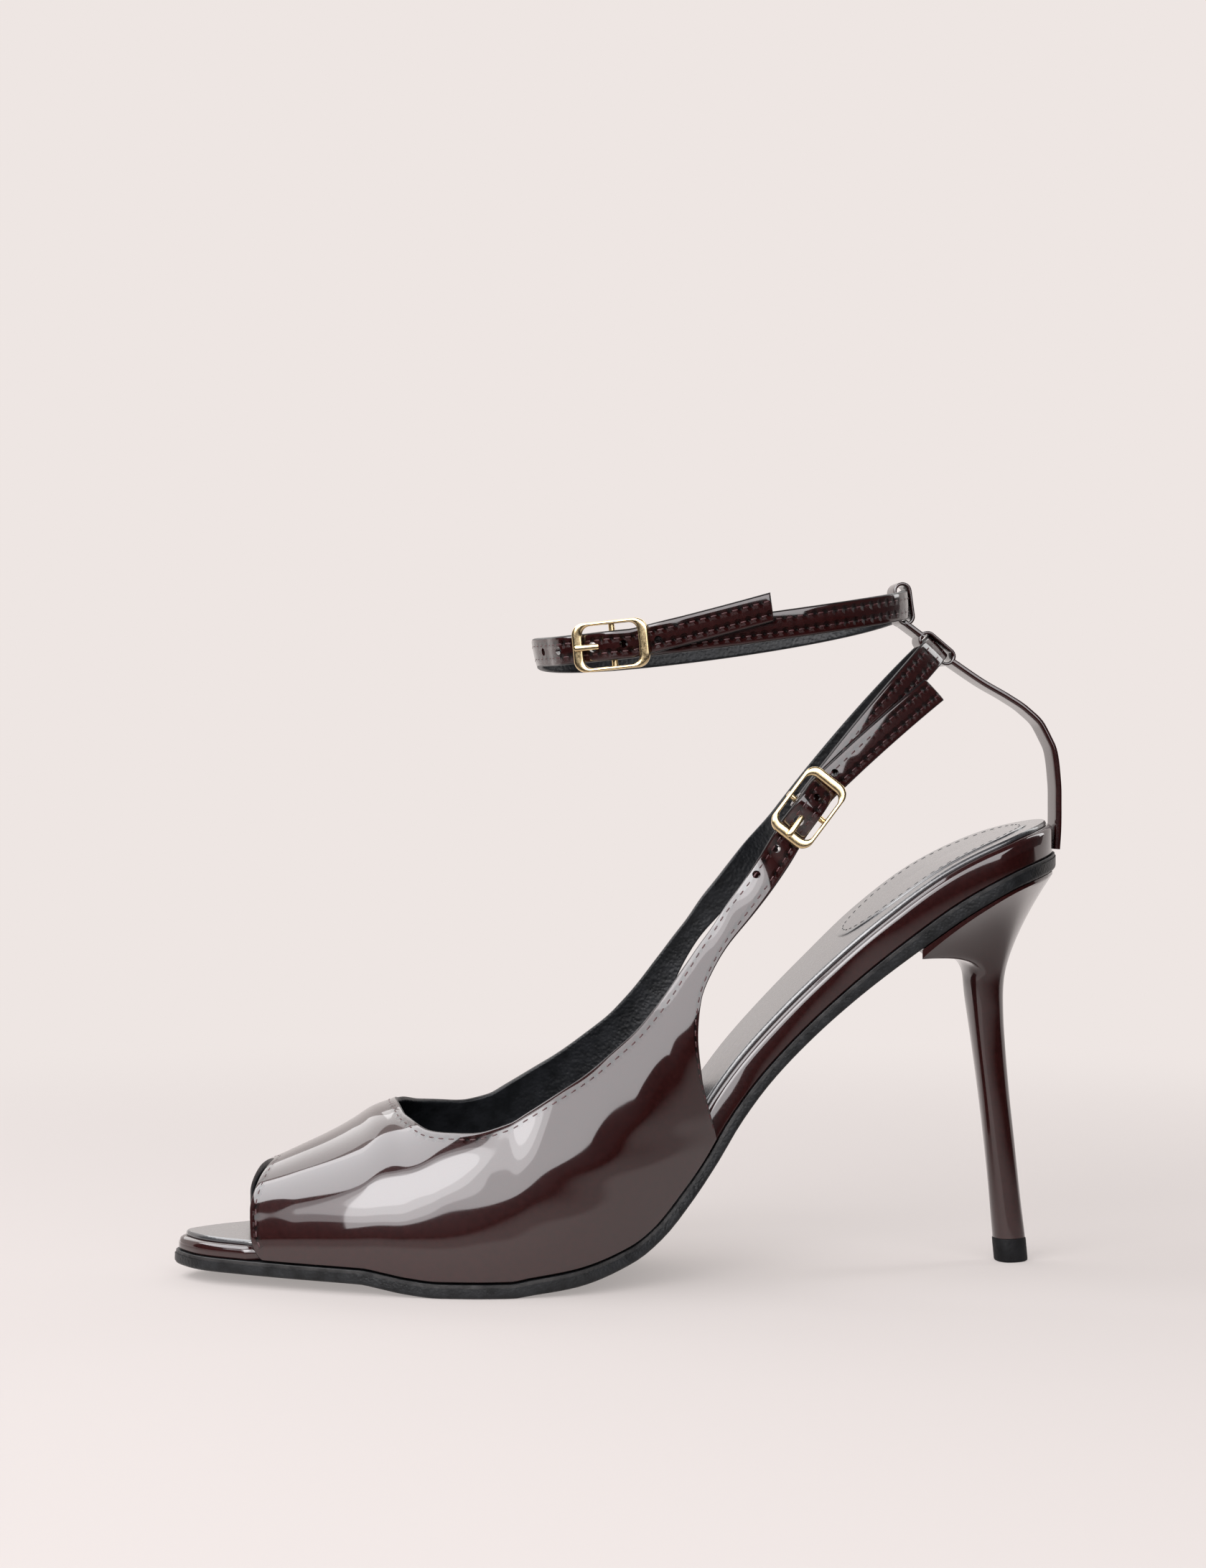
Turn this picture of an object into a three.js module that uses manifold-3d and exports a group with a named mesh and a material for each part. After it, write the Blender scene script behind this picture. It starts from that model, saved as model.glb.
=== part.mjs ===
// A left ankle strap heel in patent leather: open toe, sling strap with a buckle on the outer side,
// a looped back strap that carries the sling and the ankle strap, covered insole and stiletto heel.
// Millimetres, +X from toe to heel, +Y to the inner side of the foot, +Z up.
// The origin is on the floor under the ball, at the back of the sole's flat spot.
import * as THREE from "three";
import { mergeVertices } from "three/addons/utils/BufferGeometryUtils.js";
import Module from "manifold-3d";

const wasm = await Module();
wasm.setup();

// Turns a row of numbers into an object with the given names.
const named = (names) => (row) => Object.fromEntries(names.map((name, i) => [name, row[i]]));

// Sole and last
const soleLength = 218.2;
const ballWidth = 72;
const seatHeight = 98.9;
const toeSpring = 3.4;
const instepHeight = 72;
const soleThickness = 4;
const insoleThickness = 7.2;
const sockThickness = 0.9;
const soleLedge = 0.8;
const sockMargin = 1.6;
const toeRound = 20;
const heelRound = 22;
const gap = 0.3;

// Upper and straps
const upperWall = 1.5;
const strapWidth = 7;
const strapThickness = 1.5;
const backStrapWidth = 8;
const backStrapThickness = 1.7;
const loopWall = 0.9;
const slingHalfWidth = 22.5;
const slingBackX = 114;
const slingBackZ = 153;
const slingBow = 2.5;
const slingFarDrop = 4.5;
const slingTailLength = 44;
const slingTailShift = -6;
const ankleFrontX = 15.5;
const ankleFrontZ = 152;
const ankleBackX = 105.5;
const ankleBackZ = 164.2;
const ankleHalfWidth = 25;
const ankleBow = -2.7;
const ankleFarDrop = 1.5;
const ankleTailLength = 38;
const ankleTailShift = 4.5;
const holeDiameter = 2;
const holePitch = 7.6;
const prongHoleAt = -4.6;
const punchedHoles = [-2, -1, 1, 2];
const slingBuckleShare = 0.255;
const ankleBuckleShare = 0.175;
const neckReach = 25;
const neckStep = 3;
const slotSpare = 0.8;

// Buckles
const buckleLength = 18.8;
const buckleHeight = 11.8;
const buckleThickness = 1.4;
const endBarWidth = 2.5;
const railWidth = 0.9;
const buckleCorner = 3;
const centreBarDiameter = 1.5;
const prongWidth = 1.4;
const prongThickness = 0.9;

// Heel
const stemHeight = 68;
const tipHeight = 6;
const tipWidth = 8;
const lipSetback = 38.5;
const lipHollow = 2;
const lipDepth = { breast: 2.2, back: 0.7 };
const breastShare = 0.35;
const flare = { breast: 2.7, back: 1.55, under: 2 };

// Sections of sole and last, from toe to heel. along is a share of soleLength, lateral and medial are
// shares of ballWidth, spring of toeSpring, rise of seatHeight, sole of soleThickness, insole of
// insoleThickness, crest of instepHeight, and the bulges, by which the upper stands out over the sole,
// of ballWidth. lean is how far the layers stand square to the sole, from 1 to 0 for upright.
const sections = [
  // along, lateral, medial, spring, rise, sole, insole, crest, outerBulge, innerBulge, lean
  [0.0004, 0.11, 0.195, 1, 0, 0.83, 0.44, 0.15, 0.01, 0.01, 1],
  [0.0232, 0.161, 0.217, 0.93, 0, 0.83, 0.44, 0.19, 0.01, 0.01, 1],
  [0.067, 0.204, 0.26, 0.88, 0, 0.83, 0.44, 0.246, 0.011, 0.011, 1],
  [0.1306, 0.306, 0.347, 0.82, 0, 0.83, 0.45, 0.331, 0.016, 0.016, 1],
  [0.1993, 0.41, 0.424, 0.75, 0, 0.83, 0.46, 0.436, 0.022, 0.022, 1],
  [0.2226, 0.437, 0.439, 0.5, 0, 0.83, 0.47, 0.49, 0.025, 0.025, 1],
  [0.246, 0.462, 0.453, 0.22, 0, 0.83, 0.48, 0.529, 0.027, 0.027, 1],
  [0.2838, 0.5, 0.468, 0, 0, 0.83, 0.5, 0.611, 0.031, 0.031, 1],
  [0.3375, 0.528, 0.472, 0, 0, 0.83, 0.53, 0.705, 0.035, 0.035, 1],
  [0.3604, 0.53, 0.468, 0, 0, 0.84, 0.55, 0.746, 0.038, 0.038, 1],
  [0.3832, 0.528, 0.458, 0, 0.0066, 0.88, 0.58, 0.792, 0.042, 0.042, 1],
  [0.429, 0.507, 0.424, 0, 0.0195, 0.92, 0.63, 0.877, 0.049, 0.049, 1],
  [0.4976, 0.431, 0.306, 0, 0.069, 0.84, 0.7, 0.966, 0.07, 0.08, 1],
  [0.5294, 0.389, 0.25, 0, 0.117, 0.77, 0.74, 0.992, 0.08, 0.094, 1],
  [0.5662, 0.347, 0.194, 0, 0.207, 0.74, 0.77, 1, 0.09, 0.11, 1],
  [0.5941, 0.312, 0.167, 0, 0.289, 0.7, 0.79, 0.975, 0.104, 0.119, 1],
  [0.6209, 0.292, 0.153, 0, 0.381, 0.7, 0.8, 0.944, 0.108, 0.123, 1],
  [0.6577, 0.271, 0.181, 0, 0.483, 0.7, 0.81, 0.9, 0.11, 0.107, 1],
  [0.7035, 0.264, 0.208, 0, 0.585, 0.74, 0.83, 0.9, 0.106, 0.096, 1],
  [0.7492, 0.271, 0.236, 0, 0.674, 0.8, 0.87, 0.9, 0.099, 0.088, 1],
  [0.8188, 0.306, 0.299, 0, 0.795, 0.93, 0.94, 0.9, 0.082, 0.076, 0.85],
  [0.8875, 0.326, 0.313, 0, 0.9, 1, 1, 0.9, 0.076, 0.076, 0.35],
  [0.9332, 0.329, 0.325, 0, 0.953, 1, 1, 0.9, 0.076, 0.076, 0],
  [1, 0.325, 0.325, 0, 1, 1, 1, 0.9, 0.076, 0.076, 0],
].map(
  named([
    "along", "lateral", "medial", "spring", "rise", "sole", "insole", "crest",
    "outerBulge", "innerBulge", "lean",
  ]),
);

// Rows of the upper on one side, from its strap to the middle of the toe. top and edge are the ends of
// a row: along is a share of soleLength, angle is in degrees round the last from the sole's edge.
const upperRows = [
  // topAlong, topAngle, edgeAlong, edgeAngle
  [0.6259, 48.1, 0.6383, 35.3],
  [0.5961, 46.7, 0.5957, 34.8],
  [0.5662, 45.4, 0.5737, 31],
  [0.5384, 44.5, 0.5691, 23.5],
  [0.5155, 43.5, 0.5746, 13.5],
  [0.4976, 42.6, 0.5931, 0],
  [0.4728, 41.6, 0.5473, 0],
  [0.429, 40, 0.4658, 0],
  [0.3832, 39.5, 0.3832, 0],
  [0.3385, 40.2, 0.3087, 0],
  [0.3007, 44.6, 0.2371, 0],
  [0.2739, 51.5, 0.1694, 0],
  [0.2579, 62.4, 0.0973, 0],
  [0.2515, 69, 0.0834, 13.6],
  [0.249, 75.5, 0.0827, 33.4],
  [0.2475, 82.5, 0.0924, 62],
  [0.2465, 90, 0.109, 90],
].map(named(["topAlong", "topAngle", "edgeAlong", "edgeAngle"]));
const medialThroatRise = 6;

// Line of the back strap from the seat to its lower loop: shares of the straight line between them.
const backStrapLine = [
  { along: 0, out: 0 },
  { along: 0.075, out: 0.05 },
  { along: 0.172, out: 0.107 },
  { along: 0.276, out: 0.163 },
  { along: 0.43, out: 0.22 },
  { along: 0.53, out: 0.224 },
  { along: 0.631, out: 0.197 },
  { along: 0.725, out: 0.15 },
  { along: 0.842, out: 0.08 },
  { along: 1, out: 0 },
];

// Stem of the heel from tip to seat block. height is a share of stemHeight, front and back are
// distances behind the ball as shares of soleLength, width is a share of tipWidth.
const stemSections = [
  { height: 0.088, front: 0.5932, back: 0.6304, width: 1 },
  { height: 0.26, front: 0.5882, back: 0.6242, width: 0.95 },
  { height: 0.44, front: 0.5823, back: 0.618, width: 0.96 },
  { height: 0.62, front: 0.5757, back: 0.6117, width: 1.02 },
  { height: 0.78, front: 0.5691, back: 0.6073, width: 1.1 },
  { height: 0.9, front: 0.5638, back: 0.6048, width: 1.24 },
  { height: 1, front: 0.5591, back: 0.6038, width: 1.45 },
];

const ballShare = 0.3375;
const superness = 2.35;
const crestLean = 0.028;

const { sin, cos, sqrt, abs, sign, PI, min, max, pow } = Math;
const lerp = (a, b, t) => a + (b - a) * t;
const smooth = (t) => {
  const k = min(1, max(0, t));
  return k * k * (3 - 2 * k);
};
const degrees = PI / 180;
const vec = (x, y, z) => new THREE.Vector3(x, y, z);

// A smooth curve without overshoot through the values of one column of a table.
function column(rows, name, key = "along") {
  const x = rows.map((row, i) => (key === null ? i : row[key]));
  const y = rows.map((row) => row[name]);
  const step = x.slice(1).map((value, i) => value - x[i]);
  const rise = step.map((value, i) => (y[i + 1] - y[i]) / value);
  const slope = x.map((_, i) => {
    if (i === 0) return rise[0];
    if (i === x.length - 1) return rise[i - 1];
    if (rise[i - 1] * rise[i] <= 0) return 0;
    const a = 2 * step[i] + step[i - 1];
    const b = step[i] + 2 * step[i - 1];
    return (a + b) / (a / rise[i - 1] + b / rise[i]);
  });
  return (at) => {
    let i = 0;
    while (i < step.length - 1 && at > x[i + 1]) i++;
    const t = min(1, max(0, (at - x[i]) / step[i]));
    const left = y[i] + slope[i] * step[i] * t * (1 - t) * (1 - t);
    const right = y[i + 1] - slope[i + 1] * step[i] * t * t * (1 - t);
    const blend = t * t * (3 - 2 * t);
    return y[i] * (1 - blend) + y[i + 1] * blend + (left - y[i]) + (right - y[i + 1]);
  };
}

// Solids: a closed mesh to and from a manifold, with its faces turned outwards.
function solidOf(geometry) {
  const bare = new THREE.BufferGeometry();
  bare.setAttribute("position", geometry.getAttribute("position"));
  if (geometry.index) bare.setIndex(geometry.index);
  const merged = mergeVertices(bare, 1e-4);
  const triVerts = new Uint32Array(merged.index.array);
  const vertProperties = new Float32Array(merged.getAttribute("position").array);
  const made = new wasm.Manifold(new wasm.Mesh({ numProp: 3, vertProperties, triVerts }));
  if (made.volume() > 0) return made;
  for (let i = 0; i < triVerts.length; i += 3) {
    [triVerts[i], triVerts[i + 1]] = [triVerts[i + 1], triVerts[i]];
  }
  return new wasm.Manifold(new wasm.Mesh({ numProp: 3, vertProperties, triVerts }));
}

function geometryOf(solid) {
  const { numProp, vertProperties, triVerts } = solid.getMesh();
  const positions = [];
  for (const vertex of triVerts) {
    for (let k = 0; k < 3; k++) positions.push(vertProperties[vertex * numProp + k]);
  }
  const geometry = new THREE.BufferGeometry();
  geometry.setAttribute("position", new THREE.Float32BufferAttribute(positions, 3));
  geometry.computeVertexNormals();
  return geometry;
}

// A closed solid through rings of points: each ring is one closed loop with the same number of points.
// The first and last ring are closed by the given lists of index triples.
function ringSolid(rings, cap) {
  const count = rings[0].length;
  const positions = [];
  const face = (a, b, c) => positions.push(...a.toArray(), ...b.toArray(), ...c.toArray());
  for (let r = 0; r + 1 < rings.length; r++) {
    for (let i = 0; i < count; i++) {
      const j = (i + 1) % count;
      face(rings[r][i], rings[r][j], rings[r + 1][j]);
      face(rings[r][i], rings[r + 1][j], rings[r + 1][i]);
    }
  }
  const last = rings[rings.length - 1];
  for (const [a, b, c] of cap) {
    face(rings[0][a], rings[0][c], rings[0][b]);
    face(last[a], last[b], last[c]);
  }
  const geometry = new THREE.BufferGeometry();
  geometry.setAttribute("position", new THREE.Float32BufferAttribute(positions, 3));
  return solidOf(geometry);
}

// A closed solid between two grids of points of the same size, an outer and an inner one.
function gridSolid(outer, inner) {
  const rows = outer.length;
  const columns = outer[0].length;
  const rings = [];
  for (let r = 0; r < rows; r++) rings.push([...outer[r], ...[...inner[r]].reverse()]);
  const cap = [];
  for (let c = 0; c + 1 < columns; c++) {
    const back = 2 * columns - 1;
    cap.push([c, c + 1, back - c - 1], [c, back - c - 1, back - c]);
  }
  return ringSolid(rings, cap);
}

// Sole: the side profile, its normal and the plan outline
const lateralShare = column(sections, "lateral");
const medialShare = column(sections, "medial");
const springShare = column(sections, "spring");
const riseShare = column(sections, "rise");
const soleShare = column(sections, "sole");
const insoleShare = column(sections, "insole");
const crestShare = column(sections, "crest");
const outerBulge = column(sections, "outerBulge");
const innerBulge = column(sections, "innerBulge");
const leanShare = column(sections, "lean");

const alongOf = (x) => x / soleLength + ballShare;
const xOf = (along) => (along - ballShare) * soleLength;
const soleAt = (along) => soleThickness * soleShare(along);
const insoleTopAt = (along) => soleAt(along) + gap + insoleThickness * insoleShare(along);

function profile(along) {
  const height = (u) => toeSpring * springShare(u) + seatHeight * riseShare(u);
  const step = 1e-3;
  const from = max(0, along - step);
  const to = min(1, along + step);
  const slope = (height(to) - height(from)) / ((to - from) * soleLength);
  const tilt = slope * leanShare(along);
  const length = sqrt(1 + tilt * tilt);
  return { x: xOf(along), z: height(min(1, max(0, along))), nx: -tilt / length, nz: 1 / length };
}

// The point at a height above the sole's lower face, measured square to it.
function soleSurface(along, y, height) {
  const { x, z, nx, nz } = profile(along);
  return vec(x + nx * height, y, z + nz * height);
}

// Height over the floor, on the vertical line at x, of the layer at that height above the sole.
function layerHeight(x, heightAt) {
  let along = alongOf(x);
  for (let i = 0; i < 5; i++) {
    const { nx } = profile(along);
    along = alongOf(x - nx * heightAt(along));
  }
  const { z, nz } = profile(along);
  return z + nz * heightAt(along);
}

function halfWidths(along) {
  const fromToe = along * soleLength;
  const fromHeel = (1 - along) * soleLength;
  const roundEnd = (distance, radius) =>
    distance >= radius ? 1 : sqrt(max(0, 1 - pow(1 - distance / radius, 2)));
  const ends = roundEnd(fromToe, toeRound) * roundEnd(fromHeel, heelRound);
  const lateral = ballWidth * lateralShare(along);
  const medial = ballWidth * medialShare(along);
  const middle = (medial - lateral) / 2;
  const half = ((medial + lateral) / 2) * ends;
  return { lateral: half - middle, medial: half + middle };
}

const outlineSteps = 40;
const stations = Array.from({ length: outlineSteps + 1 }, (_, i) => {
  const even = i / outlineSteps;
  const rounded = (1 - cos(PI * even)) / 2;
  return lerp(even, rounded, 0.5);
});

// The sole's plan outline moved inwards, from the toe along the outer side and back along the inner.
function outline(inset) {
  const sideOf = (along, medialSide) => {
    const widths = halfWidths(along);
    return [xOf(along), medialSide ? widths.medial : -widths.lateral];
  };
  const loop = [
    ...stations.map((along) => sideOf(along, false)),
    ...stations.slice(1, -1).reverse().map((along) => sideOf(along, true)),
  ];
  return loop.map(([x, y], i) => {
    const before = loop[(i + loop.length - 1) % loop.length];
    const after = loop[(i + 1) % loop.length];
    const tangent = new THREE.Vector2(after[0] - before[0], after[1] - before[1]).normalize();
    return { x: x - tangent.y * inset, y: y + tangent.x * inset };
  });
}

// One layer of the sole. Each ring has an inset from the outline and a height above the lower face.
function soleLayer(ringList) {
  const rings = ringList.map(({ inset, height }) =>
    outline(inset).map(({ x, y }) => {
      const along = alongOf(x);
      return soleSurface(along, y, height(along));
    }),
  );
  const count = rings[0].length;
  const cap = [];
  for (let i = 0; i < outlineSteps; i++) {
    const a = i;
    const b = i + 1;
    const c = count - i - 1;
    const d = (count - i) % count;
    if (b !== c) cap.push([a, b, c]);
    if (a !== d) cap.push([a, c, d]);
  }
  return ringSolid(rings, cap);
}

function outsole() {
  const bottomRound = 0.9;
  const grooveDepth = 0.25;
  const topLip = 0.85;
  return soleLayer([
    { inset: bottomRound, height: () => 0 },
    { inset: bottomRound * 0.3, height: () => bottomRound * 0.35 },
    { inset: 0, height: () => bottomRound },
    { inset: 0, height: (u) => soleAt(u) - topLip },
    { inset: grooveDepth, height: (u) => soleAt(u) - topLip },
    { inset: grooveDepth, height: (u) => soleAt(u) },
  ]);
}

function insoleBlank() {
  const topRound = 1.8;
  const bottomRound = 0.5;
  return soleLayer([
    { inset: soleLedge + bottomRound, height: (u) => soleAt(u) + gap },
    { inset: soleLedge, height: (u) => soleAt(u) + gap + bottomRound },
    { inset: soleLedge, height: (u) => insoleTopAt(u) - topRound },
    { inset: soleLedge + topRound * 0.3, height: (u) => insoleTopAt(u) - topRound * 0.3 },
    { inset: soleLedge + topRound, height: (u) => insoleTopAt(u) },
  ]);
}

function sockBlank() {
  const edge = 0.5;
  return soleLayer([
    { inset: soleLedge + sockMargin + edge, height: (u) => insoleTopAt(u) + gap },
    { inset: soleLedge + sockMargin, height: (u) => insoleTopAt(u) + gap + edge },
    { inset: soleLedge + sockMargin + edge, height: (u) => insoleTopAt(u) + gap + sockThickness },
  ]);
}

// Last: the outer face of the upper. The angle runs from the outer edge of the sole, 0, over the
// crest, a quarter turn, to the inner edge, a half turn.
function lastPoint(along, angle) {
  const x = xOf(along);
  const widths = halfWidths(along);
  const c = cos(angle);
  const s = sin(angle);
  const side = (c > 0 ? widths.lateral : widths.medial) - soleLedge;
  const bulge = ballWidth * (c > 0 ? outerBulge(along) : innerBulge(along));
  const out = side * pow(abs(c), 2 / superness) + bulge * abs(2 * s * c);
  const y = -sign(c) * out + ballWidth * crestLean * s * s;
  const foot = layerHeight(x, (u) => soleAt(u) + gap);
  const crest = instepHeight * crestShare(along);
  return vec(x, y, foot + crest * sign(s) * pow(abs(s), 2 / superness));
}

function lastNormal(along, angle) {
  const a = 2e-3;
  const t = 5e-3;
  const alongStep = lastPoint(along + a, angle).sub(lastPoint(along - a, angle));
  const angleStep = lastPoint(along, angle + t).sub(lastPoint(along, angle - t));
  return alongStep.cross(angleStep).normalize();
}

const upperColumns = 7;
const rowSteps = 2;
const rowValue = Object.fromEntries(
  ["topAlong", "topAngle", "edgeAlong", "edgeAngle"].map((name) => [name, column(upperRows, name, null)]),
);

// One row of the upper's outer face. place runs from 0 at the strap to the number of rows at the toe.
function upperRow(place, medialSide, reach = 0) {
  const throat = medialSide ? medialThroatRise * smooth(1 - abs(place - 11.5) / 3.5) : 0;
  const shares = Array.from({ length: upperColumns }, (_, c) => c / (upperColumns - 1));
  if (reach > 0) {
    shares.unshift(-reach);
    shares.push(1 + reach);
  }
  return shares.map((t) => {
    const along = lerp(rowValue.topAlong(place), rowValue.edgeAlong(place), t);
    const turn = lerp(rowValue.topAngle(place) + throat, rowValue.edgeAngle(place), t) * degrees;
    const angle = medialSide ? PI - turn : turn;
    return { point: lastPoint(along, angle), normal: lastNormal(along, angle) };
  });
}

// Straps: a loop is a bent ring in a sloping plane. It gives, at a length along it, the point on the
// strap's foot side, the direction across the strap and the direction away from the foot.
function strapLoop({ front, back, bow, bowPower, halfWidth, squareness, farDrop, from, to, width }) {
  const samples = 600;
  const points = [];
  const ups = [];
  for (let i = 0; i <= samples; i++) {
    const turn = lerp(from, to, i / samples);
    const reach = sign(cos(turn)) * pow(abs(cos(turn)), 2 / squareness);
    const side = -sign(sin(turn)) * pow(abs(sin(turn)), 2 / squareness);
    const share = width.share(reach);
    const spine = front.clone().lerp(back, share);
    const slope = back.clone().sub(front).normalize();
    const up = vec(-slope.z, 0, slope.x);
    spine.z += bow * pow(4 * share * (1 - share), bowPower);
    points.push(spine.addScaledVector(up, (-farDrop * side) / 2).setY(halfWidth * side));
    ups.push(up);
  }
  const lengths = [0];
  for (let i = 1; i <= samples; i++) lengths.push(lengths[i - 1] + points[i].distanceTo(points[i - 1]));
  const total = lengths[samples];
  const at = (distance) => {
    const length = distance > total ? distance - total : distance;
    let i = 1;
    while (i < samples && lengths[i] < length) i++;
    const t = (length - lengths[i - 1]) / (lengths[i] - lengths[i - 1]);
    const point = points[i - 1].clone().lerp(points[i], t);
    const low = max(0, i - 4);
    const high = min(samples, i + 3);
    const tangent = points[high].clone().sub(points[low]).normalize();
    const up = ups[i].clone();
    const out = tangent.clone().cross(up).normalize();
    const centre = front.clone().lerp(back, 0.5);
    if (out.dot(vec(point.x - centre.x, point.y, 0)) < 0) out.negate();
    up.addScaledVector(tangent, -up.dot(tangent)).normalize();
    return { point, up, out, tangent };
  };
  const lengthAt = (share, lateral) => {
    for (let i = 1; i <= samples; i++) {
      const a = points[i - 1].x - lerp(front.x, back.x, share);
      const b = points[i].x - lerp(front.x, back.x, share);
      if (a * b <= 0 && points[i].y < 0 === lateral) return lengths[i];
    }
    return 0;
  };
  return { at, total, lengthAt };
}

// The buckle's own frame on a loop: u along the strap, w across it, n away from the foot.
function buckleFrame(loop, length) {
  const { point, out } = loop.at(length);
  const before = loop.at(length - buckleLength / 4).point;
  const after = loop.at(length + buckleLength / 4).point;
  const u = after.sub(before).normalize();
  const n = out.clone().addScaledVector(u, -out.dot(u)).normalize();
  const w = n.clone().cross(u).normalize();
  return new THREE.Matrix4().makeBasis(u, w, n).setPosition(point);
}

const barRadius = centreBarDiameter / 2;
const foldRadius = barRadius + gap + loopWall;
const barLevel = foldRadius;
const overBar = 2 * foldRadius + gap;
const tailLevel = strapThickness + gap;
const frameLevel = tailLevel + strapThickness + gap;
const endBarPlace = (buckleLength - endBarWidth) / 2;

// Height of the holed strap over the foot's side of the buckle, at u along it.
function holedLevel(u) {
  const tailSide = u > 0 ? tailLevel : lerp(0, tailLevel, smooth((u + 22) / 13));
  const hump = overBar - tailLevel;
  return tailSide + hump * (1 - smooth(abs(u) / (endBarPlace - 0.6)));
}

// How far a strap is lifted from its loop so that it lies straight where the buckle is.
function liftAt(loop, { frame, at }, length, level) {
  const { point, out } = loop.at(length);
  const local = point.clone().applyMatrix4(frame.clone().invert());
  const u = length - at;
  const far = smooth((abs(u) - buckleLength / 2) / 8);
  const flat = level(u) - local.z;
  return { point, out, lift: lerp(flat, level(u), far) };
}

// Cross rows of a strap between two lengths of its loop.
function strapRows(loop, seat, from, to, steps, options) {
  const { level, shift = () => 0, thickness = () => strapThickness, columns = 2, blend } = options;
  const outer = [];
  const inner = [];
  for (let i = 0; i <= steps; i++) {
    const length = lerp(from, to, i / steps);
    const { up, out } = loop.at(length);
    const { point, lift } = liftAt(loop, seat, length, level);
    const centre = point.clone().addScaledVector(out, lift).addScaledVector(up, shift(length));
    const start = blend ? blend(length) : null;
    const across = up.clone();
    const away = out.clone();
    let half = strapWidth / 2;
    if (start) {
      centre.addScaledVector(start.offset, start.share);
      across.lerp(start.up, start.share).normalize();
      away.lerp(start.out, start.share).normalize();
      half = lerp(half, start.half, start.share);
    }
    const outerRow = [];
    const innerRow = [];
    for (let c = 0; c < columns; c++) {
      const side = half * (1 - (2 * c) / (columns - 1));
      const foot = centre.clone().addScaledVector(across, side);
      innerRow.push(foot);
      outerRow.push(foot.clone().addScaledVector(away, thickness(length)));
    }
    outer.push(outerRow);
    inner.push(innerRow);
  }
  return { outer, inner };
}

function extruded(shape, depth, bevel = 0, curveSegments = 6) {
  const geometry = new THREE.ExtrudeGeometry(shape, {
    depth: depth - 2 * bevel,
    curveSegments,
    bevelEnabled: bevel > 0,
    bevelThickness: bevel,
    bevelSize: bevel,
    bevelOffset: -bevel,
    bevelSegments: 1,
  });
  return geometry.translate(0, 0, -(depth - 2 * bevel) / 2);
}

// Turns an extrusion so that its plane is u and n, and its depth lies across the strap.
const acrossStrap = (geometry) => geometry.rotateX(PI / 2);

// The strap's fold round the centre bar, with a slot for the prong, in the buckle's frame.
function foldParts(frame) {
  const ring = new THREE.Shape().absarc(0, barLevel, foldRadius, 0, 2 * PI);
  ring.holes.push(new THREE.Path().absarc(0, barLevel, barRadius + gap, 0, 2 * PI));
  const fold = solidOf(acrossStrap(extruded(ring, strapWidth)).applyMatrix4(frame));
  const barHole = new THREE.CylinderGeometry(barRadius + gap, barRadius + gap, strapWidth * 2, 12);
  barHole.applyMatrix4(new THREE.Matrix4().makeTranslation(0, 0, barLevel));
  const slotLength = 2 * (foldRadius + gap);
  const slot = new THREE.BoxGeometry(slotLength, prongWidth + 2 * gap, slotLength);
  slot.translate(0, 0, barLevel);
  return { fold, cuts: [solidOf(barHole.applyMatrix4(frame)), solidOf(slot.applyMatrix4(frame))] };
}

function roundedRectangle(length, height, corner) {
  const a = length / 2;
  const b = height / 2;
  const shape = new THREE.Shape();
  shape.moveTo(-a + corner, -b).lineTo(a - corner, -b).absarc(a - corner, -b + corner, corner, -PI / 2, 0);
  shape.lineTo(a, b - corner).absarc(a - corner, b - corner, corner, 0, PI / 2);
  shape.lineTo(-a + corner, b).absarc(-a + corner, b - corner, corner, PI / 2, PI);
  shape.lineTo(-a, -b + corner).absarc(-a + corner, -b + corner, corner, PI, (3 * PI) / 2);
  return shape;
}

// Buckle: a rounded frame with wide end bars, and a centre bar set lower on two short posts.
function buckle(frame) {
  const shape = roundedRectangle(buckleLength, buckleHeight, buckleCorner);
  const insideCorner = buckleCorner - railWidth;
  const opening = roundedRectangle(
    buckleLength - 2 * endBarWidth,
    buckleHeight - 2 * railWidth,
    insideCorner,
  );
  shape.holes.push(opening);
  const bevel = buckleThickness / 4;
  const body = extruded(shape, buckleThickness, bevel, 4).translate(0, 0, frameLevel + buckleThickness / 2);
  let made = solidOf(body.applyMatrix4(frame));
  const barLength = buckleHeight - railWidth / 2;
  const bar = new THREE.CylinderGeometry(barRadius, barRadius, barLength, 12);
  bar.applyMatrix4(new THREE.Matrix4().makeTranslation(0, 0, barLevel));
  made = made.add(solidOf(bar.applyMatrix4(frame)));
  for (const side of [-1, 1]) {
    const postHeight = frameLevel + buckleThickness / 2 - barLevel;
    const post = new THREE.BoxGeometry(centreBarDiameter, railWidth * 0.9, postHeight);
    post.translate(0, (side * (buckleHeight - railWidth)) / 2, barLevel + postHeight / 2);
    made = made.add(solidOf(post.applyMatrix4(frame)));
  }
  return made;
}

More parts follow.
